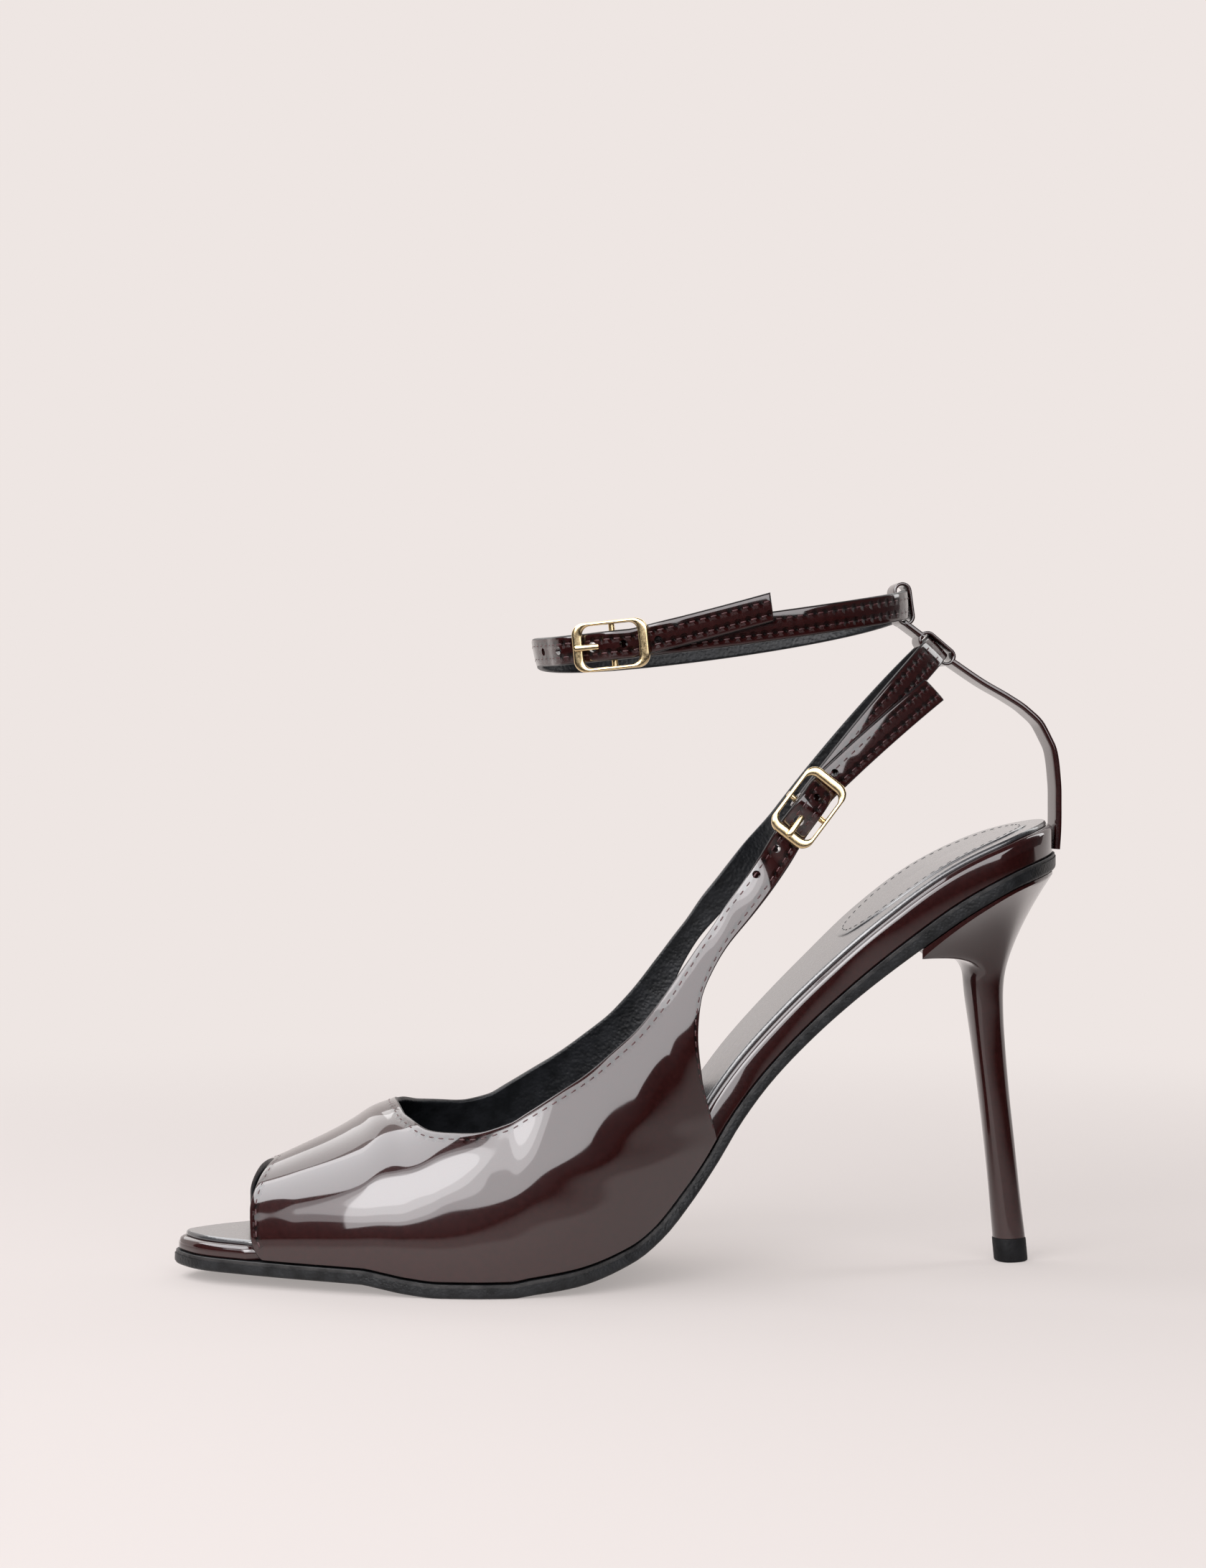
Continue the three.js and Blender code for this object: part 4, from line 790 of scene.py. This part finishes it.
# Holes go through the straps, with the black edge inside them.
def punched(piece, loop, seat):
    cutters = []
    first, radius = seat["at"] + punch["prongAt"], punch["diameter"] / 2
    spots = [(first + place * punch["pitch"], radius) for place in punch["places"]]
    spots.append((first + .6, radius + .25))
    for length, radius in spots:
        here, _, out, lift = liftAt(loop, seat, np.array([length]), holedLevel)
        centre = (here + out * (lift + strap["thickness"] / 2)[:, None])[0]
        bpy.ops.object.select_all(action="DESELECT")
        turned = Vector(out[0]).to_track_quat("Z", "Y")
        bpy.ops.mesh.primitive_cylinder_add(vertices=28, radius=radius * mm, depth=3.4 * mm,
                                            location=Vector(centre) * mm, rotation=turned.to_euler())
        cutters.append(bpy.context.object)
    cutter = joined("holeCutter", cutters)
    cutter.data.materials.clear()
    for _ in range(3):
        cutter.data.materials.append(None)
    cutter.data.polygons.foreach_set("material_index", np.ones(len(cutter.data.polygons), int))
    applied(piece, "BOOLEAN", object=cutter, operation="DIFFERENCE", solver="EXACT")
    bpy.data.objects.remove(cutter, do_unlink=True)
    return smoothed(piece, 50)


# Buckles and what holds them
def framePoint(seat, u, w, n):
    return (seat["origin"] + np.outer(np.ravel(u), seat["u"]) + np.outer(np.ravel(w), seat["w"])
            + np.outer(np.ravel(n), seat["n"]))


def roundedPath(length, height, corner, straight=9, arc=10):
    a, b, path = length / 2 - corner, height / 2 - corner, []
    for k, (x, y) in enumerate(((a, -b), (a, b), (-a, b), (-a, -b))):
        turn = np.linspace(-math.pi / 2, 0, arc + 1) + k * math.pi / 2
        path.append(np.stack([x + corner * np.cos(turn), y + corner * np.sin(turn)], -1))
        start = path[-1][-1]
        nx, ny = ((a, b), (-a, b), (-a, -b), (a, -b))[k]
        nextTurn = -math.pi / 2 + (k + 1) * math.pi / 2
        end = np.array([nx + corner * math.cos(nextTurn), ny + corner * math.sin(nextTurn)])
        path.append(start + (end - start) * np.linspace(0, 1, straight + 2)[1:-1, None])
    path = np.concatenate(path)
    return np.concatenate([path, path[:1]])


def madeBuckle(name, seat, nodes):
    size = buckleSize
    outer = roundedPath(size["length"], size["height"], size["corner"])
    inner = roundedPath(size["length"] - 2 * size["endBar"], size["height"] - 2 * size["rail"],
                        size["corner"] - size["rail"])
    middle, reach = (outer + inner) / 2, (outer - inner) / 2
    half = np.linalg.norm(reach, axis=1)
    level = frameLevel + size["thickness"] / 2
    path = framePoint(seat, middle[:, 0], middle[:, 1], np.full(len(middle), level))
    wide = unit(np.outer(reach[:, 0], seat["u"]) + np.outer(reach[:, 1], seat["w"]))
    high = np.repeat(seat["n"][None], len(path), 0)
    parts = [roundedBar(name, path, wide, high, half, size["thickness"] / 2, True, 28, 3)]
    reachAcross = (size["height"] - size["rail"] / 2) / 2
    w = np.linspace(-reachAcross, reachAcross, 12)
    bar = framePoint(seat, 0 * w, w, 0 * w + barLevel)
    along = np.repeat(seat["u"][None], 12, 0)
    parts.append(roundedBar(name, bar, along, high[:12], barRadius, barRadius, steps=20, power=2))
    for side in (-1, 1):
        n = np.linspace(barLevel, level, 6)
        post = framePoint(seat, 0 * n, 0 * n + side * (size["height"] - size["rail"]) / 2, n)
        parts.append(roundedBar(name, post, along[:6], np.repeat(seat["w"][None], 6, 0), barRadius, size["rail"] * .45,
                                steps=16, power=4))
    return dressed(joined(name, parts), [gold], nodes)


def madeProng(name, seat, nodes):
    size = buckleSize
    turn = np.linspace(0, 2 * math.pi, 33)
    middle = barRadius + gap + size["prongThickness"] / 2
    ring = framePoint(seat, middle * np.cos(turn), 0 * turn, barLevel + middle * np.sin(turn))
    outward = np.outer(np.cos(turn), seat["u"]) + np.outer(np.sin(turn), seat["n"])
    side = np.repeat(seat["w"][None], 33, 0)
    eye = roundedBar(name, ring, side, outward, size["prongWidth"] / 2, size["prongThickness"] / 2, True, 16, 3.5)
    top = frameLevel + size["thickness"] + gap / 2 + size["prongThickness"] * .45
    low = barLevel + barRadius + gap + size["prongThickness"] * .4
    tip = endBarPlace + size["endBar"] * .3
    u = np.linspace(.6, -tip, 26)
    rise = curveThrough([-.6, endBarPlace * .55, endBarPlace - .6, tip], [low, top - .35, top, top - .05])(-u)
    taper = np.sqrt(np.clip(1 - np.maximum(0, (-u - tip + .7) / .7) ** 2, .02, 1))
    path = framePoint(seat, u, 0 * u, rise)
    tangent = unit(np.gradient(path, axis=0))
    sideways = np.repeat(seat["w"][None], len(u), 0)
    arm = roundedBar(name, path, sideways, unit(np.cross(sideways, tangent)), size["prongWidth"] / 2 * taper,
                     size["prongThickness"] / 2 * (.6 + .4 * taper), False, 16, 3)
    return dressed(joined(name, [eye, arm]), [gold], nodes)


def madeFold(name, seat):  # the strap's end round the bar, with a slot for the prong
    turn = np.linspace(0, 2 * math.pi, 41)
    middle = barRadius + gap + backStrap["loopWall"] / 2
    outward = np.outer(np.cos(turn), seat["u"]) + np.outer(np.sin(turn), seat["n"])
    side = np.repeat(seat["w"][None], 41, 0)
    slot = buckleSize["prongWidth"] / 2 + gap
    half = (strap["width"] / 2 - slot) / 2
    parts = []
    for way in (-1, 1):
        ring = framePoint(seat, middle * np.cos(turn), 0 * turn + way * (slot + half),
                          barLevel + middle * np.sin(turn))
        parts.append(roundedBar(name, ring, side, outward, half, backStrap["loopWall"] / 2, True, 20, 6))
    return dressed(joined(name, parts), [patent])


# The back strap: a doubled strap up the heel, with a loop round each strap.
def madeBackStrap():
    along = np.linspace(0, 1, 90)
    flat = lambda p: np.array([p[0], p[2]])
    seat = flat(soleSurface(1.0, 0, soleAt(1.0) + gap))
    start = seat + np.array([backStrap["thickness"] / 2 + gap - sole["ledge"], 0])
    slots = []
    for loop in (slingLoop, ankleLoop):
        here, across, out, _ = loop["at"](np.array(loop["total"] / 2))
        centre = here + out * (strap["thickness"] - backStrap["slotSpare"]) / 2
        slots.append((flat(centre), unit(flat(across))))
    slotHalf = strap["width"] / 2 + gap + backStrap["slotSpare"]
    slotRadius = (strap["thickness"] + backStrap["slotSpare"]) / 2 + gap
    wall = backStrap["loopWall"]
    endOf = lambda slot, side: slot[0] + slot[1] * side * (slotHalf + wall / 2)
    finish = endOf(slots[0], -1)
    line = finish - start
    outward = np.array([line[1], -line[0]])
    place = np.arange(len(backStrapLine))
    at = along * place[-1]
    curve = (start + line * curveThrough(place, backStrapLine[:, 0])(at)[:, None]
             + outward * curveThrough(place, backStrapLine[:, 1])(at)[:, None])
    lift = lambda p: np.stack([p[:, 0], 0 * p[:, 0], p[:, 1]], -1)
    half, acrossY = backStrap["width"] / 2, lambda p: np.repeat([[0.0, 1, 0]], len(p), 0)
    sides = np.array([1] + [0] * 12 + [1, 1] + [2] * 12 + [1])

    def ribbon(name, points, halfHigh, looped=False):
        path = lift(points)
        tangent = unit(np.gradient(path, axis=0))
        if looped:
            tangent[0] = tangent[-1] = unit(path[1] - path[-2])
        high = unit(np.cross(acrossY(path), tangent))
        return roundedBar(name, path, acrossY(path), high, half, halfHigh, looped, 28, 7, sides)
    parts = [ribbon("backStrap", curve, backStrap["thickness"] / 2)]
    rise = endOf(slots[1], -1) - endOf(slots[0], 1)
    bridge = endOf(slots[0], 1) + rise * np.linspace(-.15, 1.15, 14)[:, None]
    parts.append(ribbon("backStrap", bridge, backStrap["thickness"] / 2))
    for centre, direction in slots:
        side = np.array([-direction[1], direction[0]])
        radius = slotRadius + wall / 2
        straight = slotHalf - slotRadius
        turn = np.linspace(-math.pi / 2, math.pi / 2, 15)
        arc = np.stack([straight + radius * np.cos(turn), radius * np.sin(turn)], -1)
        loopPath = np.concatenate([arc, -arc, arc[:1]])
        loopPath = centre + loopPath[:, :1] * direction + loopPath[:, 1:] * side
        parts.append(ribbon("backStrap", loopPath, wall / 2, True))
    below = [(endOf(slots[0], -1), curve[-4] - curve[-1]), (endOf(slots[1], -1), -rise)]
    for point, way in below:
        way = unit(way)
        outside = np.array([-way[1], way[0]])
        outside = outside if outside[0] > 0 else -outside
        spot = point + way * 1.6 + outside * (backStrap["thickness"] / 2 + .02)
        for y in np.arange(-half + 1.2, half - .6, 1.35):
            stitchSpots.append((np.array([spot[0], y, spot[1]]), np.array([0, 1.0, 0]),
                                np.array([outside[0], 0, outside[1]]), 1.9))
    return joined("backStrap", parts)


print("buckles and loops are ready")


# The sole's layers: rings of an inset and a height, joined across by rows.
def soleOutline(inset, count=150):
    even = np.linspace(0, 1, count + 1)
    stations = (1 - np.cos(math.pi * even)) / 2 * .8 + even * .2
    lateral, medial = halfWidths(stations)
    loop = np.concatenate([np.stack([xOf(stations), -lateral], -1), np.stack([xOf(stations), medial], -1)[-2:0:-1]])
    tangent = unit(np.roll(loop, -1, 0) - np.roll(loop, 1, 0))
    inset = inset(alongOf(loop[:, 0])) if callable(inset) else inset
    moved = loop + np.stack([-tangent[:, 1], tangent[:, 0]], -1) * np.reshape(inset, (-1, 1))
    return moved[:count + 1], np.concatenate([moved[:1], moved[count + 1:][::-1], moved[count:count + 1]])


def soleLayer(name, rings, kinds, across=27, capKind=(0, 0), crown=None):
    left, right = [], []
    for inset, height in rings:
        a, b = soleOutline(inset)
        for line, sideList in ((a, left), (b, right)):
            along = alongOf(line[:, 0])
            sideList.append(soleSurface(along, line[:, 1], height(along)))
    def cap(k):
        inset, height = rings[k]
        a, b = soleOutline(inset)
        t = np.linspace(0, 1, across)[1:-1]
        xy = a[:, None] * (1 - t)[None, :, None] + b[:, None] * t[None, :, None]
        along = alongOf(xy[..., 0])
        rise = height(along) + (crown(along, t) if crown is not None and k == -1 else 0)
        return soleSurface(along, xy[..., 1], rise)
    left, right = np.stack(left, 1), np.stack(right, 1)
    low, high = cap(0), cap(-1)
    grid = np.concatenate([left, high, right[:, ::-1], low[:, ::-1], left[:, :1]], 1)
    inner = across - 1
    columnKinds = list(kinds) + [capKind[1]] * inner + list(kinds)[::-1] + [capKind[0]] * inner
    return smoothed(gridPiece(name, grid, columnKinds), 40)


def rounding(radius, base, top, steps=5):  # insets and heights of a rounded edge
    turn = np.linspace(0, math.pi / 2, steps)
    if top:
        return [(base[0] + radius * (1 - math.cos(a)), radius * (math.sin(a) - 1)) for a in turn]
    return [(base[0] + radius * (1 - math.sin(a)), radius * (1 - math.cos(a))) for a in turn]


def madeOutsole():
    low = [(inset, lambda u, h=h: h + 0 * u) for inset, h in rounding(.9, (0, 0), False)]
    groove, lip = .25, .85
    upperEdge = [(0, lambda u: soleAt(u) - lip), (groove, lambda u: soleAt(u) - lip - .02),
                 (groove, lambda u: soleAt(u) - .12), (groove + .12, lambda u: soleAt(u))]
    rings = low + upperEdge
    # the groove and top rim take the second material, the lighter painted highlight
    kinds = [0] * (len(low)) + [0, 1, 1]
    return dressed(soleLayer("outsole", rings, kinds), [soleSkin, soleTopHighlight], ["outsole"])


def underUpper(u):  # the insole is narrower where the upper goes down beside it
    return (upperSize["wall"] + .12) * smooth((u - .079) / .007) * (1 - smooth((u - .586) / .012))


def madeInsole():
    ledge = sole["ledge"]
    inset = lambda more: (lambda u: ledge + more + underUpper(u))
    low = [(inset(a), lambda u, h=h: soleAt(u) + gap * .4 + h) for a, h in rounding(.5, (0, 0), False, 4)]
    high = [(inset(a), lambda u, h=h: insoleTop(u) + h) for a, h in rounding(1.7, (0, 0), True, 7)]
    rings = low + high
    return dressed(soleLayer("insole", rings, [0] * (len(rings) - 1)), [patent], ["insole"])


def madeSock():
    edge = sole["ledge"] + sole["sockMargin"]
    inset = lambda more: (lambda u: edge + more + .6 * underUpper(u))
    base = lambda u: insoleTop(u) + gap * .3
    rings = [(inset(.1), base), (inset(0), lambda u: base(u) + .3), (inset(.15), lambda u: base(u) + .75),
             (inset(.5), lambda u: insoleTop(u) + gap + sole["sock"])]
    return dressed(soleLayer("sockLining", rings, [0, 0, 0]), [sockSkin], ["sock"])


# The heel: a stem that widens into the block, hollowed at the breast.
stemShares = [curveThrough(stemTable[:, 0], stemTable[:, i]) for i in (1, 2, 3)]
backT, frontT = np.linspace(0, 1, 49), np.linspace(0, 1, 25)[1:-1]
lipAlong = 1 - heelSize["lipSetback"] / sole["length"]


def stemRing(height, grow=0.0):
    front = sole["length"] * stemShares[0](height) - grow
    back = sole["length"] * stemShares[1](height) + grow
    half = heelSize["tipWidth"] * stemShares[2](height) / 2 + grow
    crease = front + (back - front) * heelSize["breastShare"]
    t = np.concatenate([backT, frontT])
    isBack = np.arange(len(t)) < len(backT)
    x = crease + (np.where(isBack, back, front) - crease) * np.sin(math.pi * t)
    y = np.where(isBack, -half, half) * np.cos(math.pi * t)
    return np.stack([x, y, np.full(len(t), heelSize["stem"] * float(height))], -1)


def seatRing(inset=.4):
    def at(along, part):
        inner = lipAlong + (along - lipAlong) * (1 - inset / heelSize["lipSetback"])
        lateral, medial = halfWidths(along)
        y = -(lateral - inset) + (medial + lateral - 2 * inset) * part
        return soleSurface(inner, y, -gap * .4 + 0 * y)
    back = at(1 - (1 - lipAlong) * np.abs(np.cos(math.pi * backT)), np.where(backT < .5, 0.0, 1.0))
    hollow = heelSize["lipHollow"] / sole["length"] * np.sin(math.pi * frontT)
    front = at(lipAlong + hollow, (1 + np.cos(math.pi * frontT)) / 2)
    return np.concatenate([back, front])


def madeHeel():
    heights = np.linspace(stemTable[0, 0], 1, 60)
    rings = [stemRing(h) for h in heights]
    seat = seatRing()
    index = np.arange(len(seat))
    backward = np.where(index < len(backT), np.sin(math.pi * index / (len(backT) - 1)), 0)
    mix = lambda low, high, part: low + (high - low) * part
    last = rings[-1]
    for v in np.linspace(0, 1, 41)[1:]:
        out = v ** mix(heelSize["breastPower"], heelSize["backPower"], backward)
        upward = mix(1 - (1 - v) ** heelSize["underPower"], v, backward)
        band = mix(heelSize["breastDepth"], heelSize["backDepth"], backward)
        target = seat - np.array([0, 0, 1]) * band[:, None]
        rings.append(np.stack([mix(last[:, 0], target[:, 0], out), mix(last[:, 1], target[:, 1], out),
                               mix(last[:, 2], target[:, 2], upward)], -1))
    rings.append(seat)
    rings = easedRows(np.array(rings), len(heights), 10)
    stem = capped(gridPiece("heel", np.concatenate([rings, rings[:, :1]], 1), np.zeros(rings.shape[1], int)))
    return dressed(smoothed(stem, 38), [patent], ["heel"])


def madeTopPiece():
    foot = stemTable[0, 0]
    rake = (sole["length"] * (stemShares[0](foot) - stemShares[0](3 * foot))) / (2 * foot * heelSize["stem"])
    rows = [(0, -.3), (.1, -.1), (.3, .1), (.6, .15),
            (heelSize["tip"] - gap - .15, .15), (heelSize["tip"] - gap * .4, .05)]
    rings = []
    for z, grow in rows:
        ring = stemRing(foot, grow)
        ring[:, 0] += rake * (heelSize["tip"] - z)
        ring[:, 2] = z
        rings.append(ring)
    rings = np.array(rings)
    piece = capped(gridPiece("topPiece", np.concatenate([rings, rings[:, :1]], 1), np.zeros(rings.shape[1], int)))
    return dressed(smoothed(piece, 38), [tipRubber], ["top_piece"])


# The heel pad on the sock: an oval with its own row of stitches.
pad = {"length": 40, "width": 31, "fromBack": 7.5, "height": .36, "fullness": .85,
       "rims": [(1.012, -.25), (1.01, .1), (1, .28), (.97, .34)],  # share of the oval, height above the sock
       "inner": [.9, .7, .4, .15, .001]}


def madePad():
    turn = np.linspace(0, 2 * math.pi, 97)
    centreX = xOf(1) - pad["fromBack"] - pad["length"] / 2

    def spot(part):
        x = centreX + pad["length"] / 2 * part * np.cos(turn)
        half = pad["width"] / 2 * part * np.abs(np.sin(turn)) ** pad["fullness"] * np.sign(np.sin(turn))
        return x, half
    rows = []
    for part, rise in pad["rims"] + [(part, pad["height"]) for part in pad["inner"]]:
        x, y = spot(part)
        u = alongOf(x)
        rows.append(soleSurface(u, y, insoleTop(u) + gap + sole["sock"] + rise))
    rows = np.array(rows)
    piece = smoothed(capped(gridPiece("heelPad", rows, np.zeros(96, int))), 50)
    x, y = spot(.93)
    line = soleSurface(alongOf(x), y, insoleTop(alongOf(x)) + gap + sole["sock"] + .38)
    u = alongOf(x)
    ahead = unit(soleSurface(u + .004, y, insoleTop(u)) - soleSurface(u, y, insoleTop(u)))
    away = unit(np.cross(ahead, np.array([0, 1.0, 0])))
    away = np.where(away[:, 2:] < 0, -away, away)
    padSpots = len(stitchSpots)
    sewn(line, away, lengthsOf(line), np.ones(len(line), bool), 2.4)
    padStitches = stitchSpots[padSpots:]
    del stitchSpots[padSpots:]
    return dressed(piece, [sockSkin]), padStitches


# Stitches: one is modelled and laid on every spot.
def madeStitches(name, spots, material, radius=.2, sink=.12):
    bpy.ops.object.select_all(action="DESELECT")
    bpy.ops.mesh.primitive_uv_sphere_add(segments=8, ring_count=6, radius=1, location=(0, 0, 0),
                                         rotation=(0, math.pi / 2, 0))
    bpy.ops.object.transform_apply(location=False, rotation=True, scale=False)
    one = bpy.context.object
    base = np.array([v.co[:] for v in one.data.vertices])
    faces = [tuple(p.vertices) for p in one.data.polygons]
    bpy.data.objects.remove(one, do_unlink=True)
    shape = np.sign(base) * np.abs(base) ** .8
    vertices, polygons = [], []
    for number, (centre, forward, away, pitch) in enumerate(spots):
        side = unit(np.cross(away, forward))
        away = unit(np.cross(forward, side))
        half = pitch * .36
        local = shape * np.array([half, radius * 1.1, radius])
        dip = -.35 * radius * (np.abs(base[:, :1]) ** 3)
        vertices.append(centre + local[:, :1] * forward + local[:, 1:2] * side + (local[:, 2:] - sink + dip) * away)
        polygons += [tuple(i + number * len(base) for i in face) for face in faces]
    mesh = bpy.data.meshes.new(name)
    mesh.from_pydata((np.concatenate(vertices) * mm).tolist(), [], polygons)
    piece = bpy.data.objects.new(name, mesh)
    bpy.context.collection.objects.link(piece)
    activate(piece)
    bpy.ops.object.shade_smooth()
    return dressed(piece, [material])


upperPiece = punched(upperPiece, slingLoop, slingSeat)
upperPiece = dressed(upperPiece, [patentSewn, edgePaint, lining], ["upper"])
anklePiece = punched(anklePiece, ankleLoop, ankleSecond)
anklePiece = dressed(anklePiece, [patentSewn, edgePaint, lining], ["ankle_strap"])
madeFold("slingFold", slingSeat)
madeFold("ankleFold", ankleSeat)
madeBuckle("slingBuckle", slingSeat, ["sling_buckle"])
madeBuckle("ankleBuckle", ankleSeat, ["ankle_buckle"])
madeProng("slingProng", slingSeat, ["sling_prong"])
madeProng("anklePronged", ankleSeat, ["ankle_prong"])
dressed(madeBackStrap(), [patent, edgePaint, lining], ["back_strap"])
print("buckles and back strap are made")
madeOutsole()
madeInsole()
madeSock()
padPiece, padStitches = madePad()
madeHeel()
madeTopPiece()
print("sole and heel are made")
madeStitches("stitching", stitchSpots, thread)
madeStitches("padStitching", padStitches, padThread, .2)
print(len(stitchSpots) + len(padStitches), "stitches")

# Floor, light and camera
stage = {"floor": 6.0, "wallAt": 1.6, "curve": .8, "height": 5.0, "tone": (.855, .791, .768),
         "nearGlow": .4, "nearAlbedo": .33, "fadeFrom": .16, "fadeTo": .62, "glossFrom": .135, "glossTo": .175}
turn = np.linspace(0, math.pi / 2, 24)
sweep = [(-stage["floor"], 0)]
sweep += [(stage["wallAt"] + stage["curve"] * math.sin(a), stage["curve"] * (1 - math.cos(a))) for a in turn]
sweep.append((stage["wallAt"] + stage["curve"], stage["height"]))
bpy.ops.object.select_all(action="DESELECT")
bpy.ops.mesh.primitive_grid_add(x_subdivisions=len(sweep) - 1, y_subdivisions=1, size=2)
floor = bpy.context.object
floor.name = "paleSweep"
for vertex in floor.data.vertices:
    k = int(round((vertex.co.x + 1) / 2 * (len(sweep) - 1)))
    vertex.co = (vertex.co.y * stage["floor"], sweep[k][0], sweep[k][1])
smoothed(floor, 60)
floorMaterial = bpy.data.materials.new("palePaper")
floorMaterial.use_nodes = True
paper = floorMaterial.node_tree
floorShader = paper.nodes["Principled BSDF"]
floorShader.inputs["Roughness"].default_value = .95
floorShader.inputs["Specular IOR Level"].default_value = 0
floorPlace = paper.nodes.new("ShaderNodeTexCoord").outputs["Object"]
fromShoe = paper.nodes.new("ShaderNodeVectorMath")
fromShoe.operation = "DISTANCE"
fromShoe.inputs[1].default_value = (.03, 0, 0)
paper.links.new(floorPlace, fromShoe.inputs[0])


def ramped(tree, value, start, stop, low, high):
    span = tree.nodes.new("ShaderNodeMapRange")
    span.interpolation_type = "SMOOTHSTEP"
    for label, number in (("From Min", start), ("From Max", stop), ("To Min", low), ("To Max", high)):
        span.inputs[label].default_value = number
    tree.links.new(value, span.inputs["Value"])
    return span.outputs[0]


rays = paper.nodes.new("ShaderNodeLightPath")
seen = ramped(paper, fromShoe.outputs["Value"], stage["fadeFrom"], stage["fadeTo"], stage["nearGlow"], 1)
mirrored = ramped(paper, fromShoe.outputs["Value"], stage["glossFrom"], stage["glossTo"], stage["nearGlow"], .02)
glow = paper.nodes.new("ShaderNodeMix")
paper.links.new(rays.outputs["Is Camera Ray"], glow.inputs[0])
floorParts = paper.nodes.new("ShaderNodeSeparateXYZ")
paper.links.new(floorPlace, floorParts.inputs[0])
behind = ramped(paper, floorParts.outputs[1], .02, .12, 0, .9)
paper.links.new(mathNode(paper, "MAXIMUM", mirrored, behind), glow.inputs[2])
paper.links.new(seen, glow.inputs[3])
paper.links.new(glow.outputs[0], floorShader.inputs["Emission Strength"])
floorShader.inputs["Emission Color"].default_value = (*stage["tone"], 1)
shadeRamp = paper.nodes.new("ShaderNodeValToRGB")
shadeRamp.color_ramp.elements[0].position = 0
shadeRamp.color_ramp.elements[0].color = (*[c * stage["nearAlbedo"] for c in stage["tone"]], 1)
shadeRamp.color_ramp.elements[1].position, shadeRamp.color_ramp.elements[1].color = 1, (0, 0, 0, 1)
faded = ramped(paper, fromShoe.outputs["Value"], stage["fadeFrom"], stage["fadeTo"], 0, 1)
paper.links.new(faded, shadeRamp.inputs[0])
paper.links.new(shadeRamp.outputs[0], floorShader.inputs["Base Color"])
floor.data.materials.append(floorMaterial)

# direction in degrees from the camera's side towards the heel, height in degrees, distance, width,
# height, brightness, outline, colour
lamps = [
    (-10, 27, 1.3, 2.3, .98, 3.6, "RECTANGLE", (1, .985, 1)),
    (-38, 28, 1.22, 1.3, .9, 1.7, "ELLIPSE", (1, .985, 1)),
    (-40, 29, 1.18, .95, .7, 1.7, "ELLIPSE", (1, .985, 1)),
    (-42, 30, 1.14, .65, .5, 1.7, "ELLIPSE", (1, .985, 1)),
    (-95, 55, 1.2, 1.0, .7, 5.0, "RECTANGLE", (.98, .98, 1)),
    (105, 35, 1.3, .25, 1.1, 4.0, "RECTANGLE", (1, 1, 1)),
    (165, 42, 1.3, 1.2, .6, 1.6, "RECTANGLE", (1, 1, 1)),
    (-150, 35, 1.3, .6, .7, 1.6, "RECTANGLE", (1, 1, 1)),
]
for number, (across, above, reach, width, height, brightness, outline, colour) in enumerate(lamps):
    lamp = bpy.data.lights.new("softbox%d" % number, "AREA")
    lamp.shape, lamp.size, lamp.size_y, lamp.color = outline, width, height, colour
    lamp.energy = brightness * math.pi * width * height * (.785 if outline == "ELLIPSE" else 1)
    holder = bpy.data.objects.new("softbox%d" % number, lamp)
    bpy.context.collection.objects.link(holder)
    a, e = math.radians(across), math.radians(above)
    way = Vector((math.sin(a) * math.cos(e), -math.cos(a) * math.cos(e), math.sin(e)))
    holder.location = Vector((0, 0, .05)) + way * reach
    holder.rotation_euler = way.to_track_quat("Z", "Y").to_euler()
    holder.visible_camera = False
world = bpy.data.worlds.new("room")
bpy.context.scene.world = world
world.use_nodes = True
room = world.node_tree
roomRays = room.nodes.new("ShaderNodeLightPath")
roomMix = room.nodes.new("ShaderNodeMix")
roomMix.data_type = "RGBA"
room.links.new(roomRays.outputs["Is Camera Ray"], roomMix.inputs[0])
roomMix.inputs[6].default_value = (.05, .05, .052, 1)
roomMix.inputs[7].default_value = (*stage["tone"], 1)
room.links.new(roomMix.outputs[2], room.nodes["Background"].inputs[0])
room.nodes["Background"].inputs[1].default_value = 1
bpy.context.scene.view_settings.view_transform = "Standard"

view = bpy.data.cameras.new("camera")
view.sensor_fit, view.sensor_width, view.lens = "HORIZONTAL", 36, 83.25
camera = bpy.data.objects.new("camera", view)
bpy.context.collection.objects.link(camera)
camera.location = (-.052888, -.68231, .1195)
camera.rotation_euler = (math.radians(90), 0, math.radians(-7))
bpy.context.scene.camera = camera
print("stage is set")
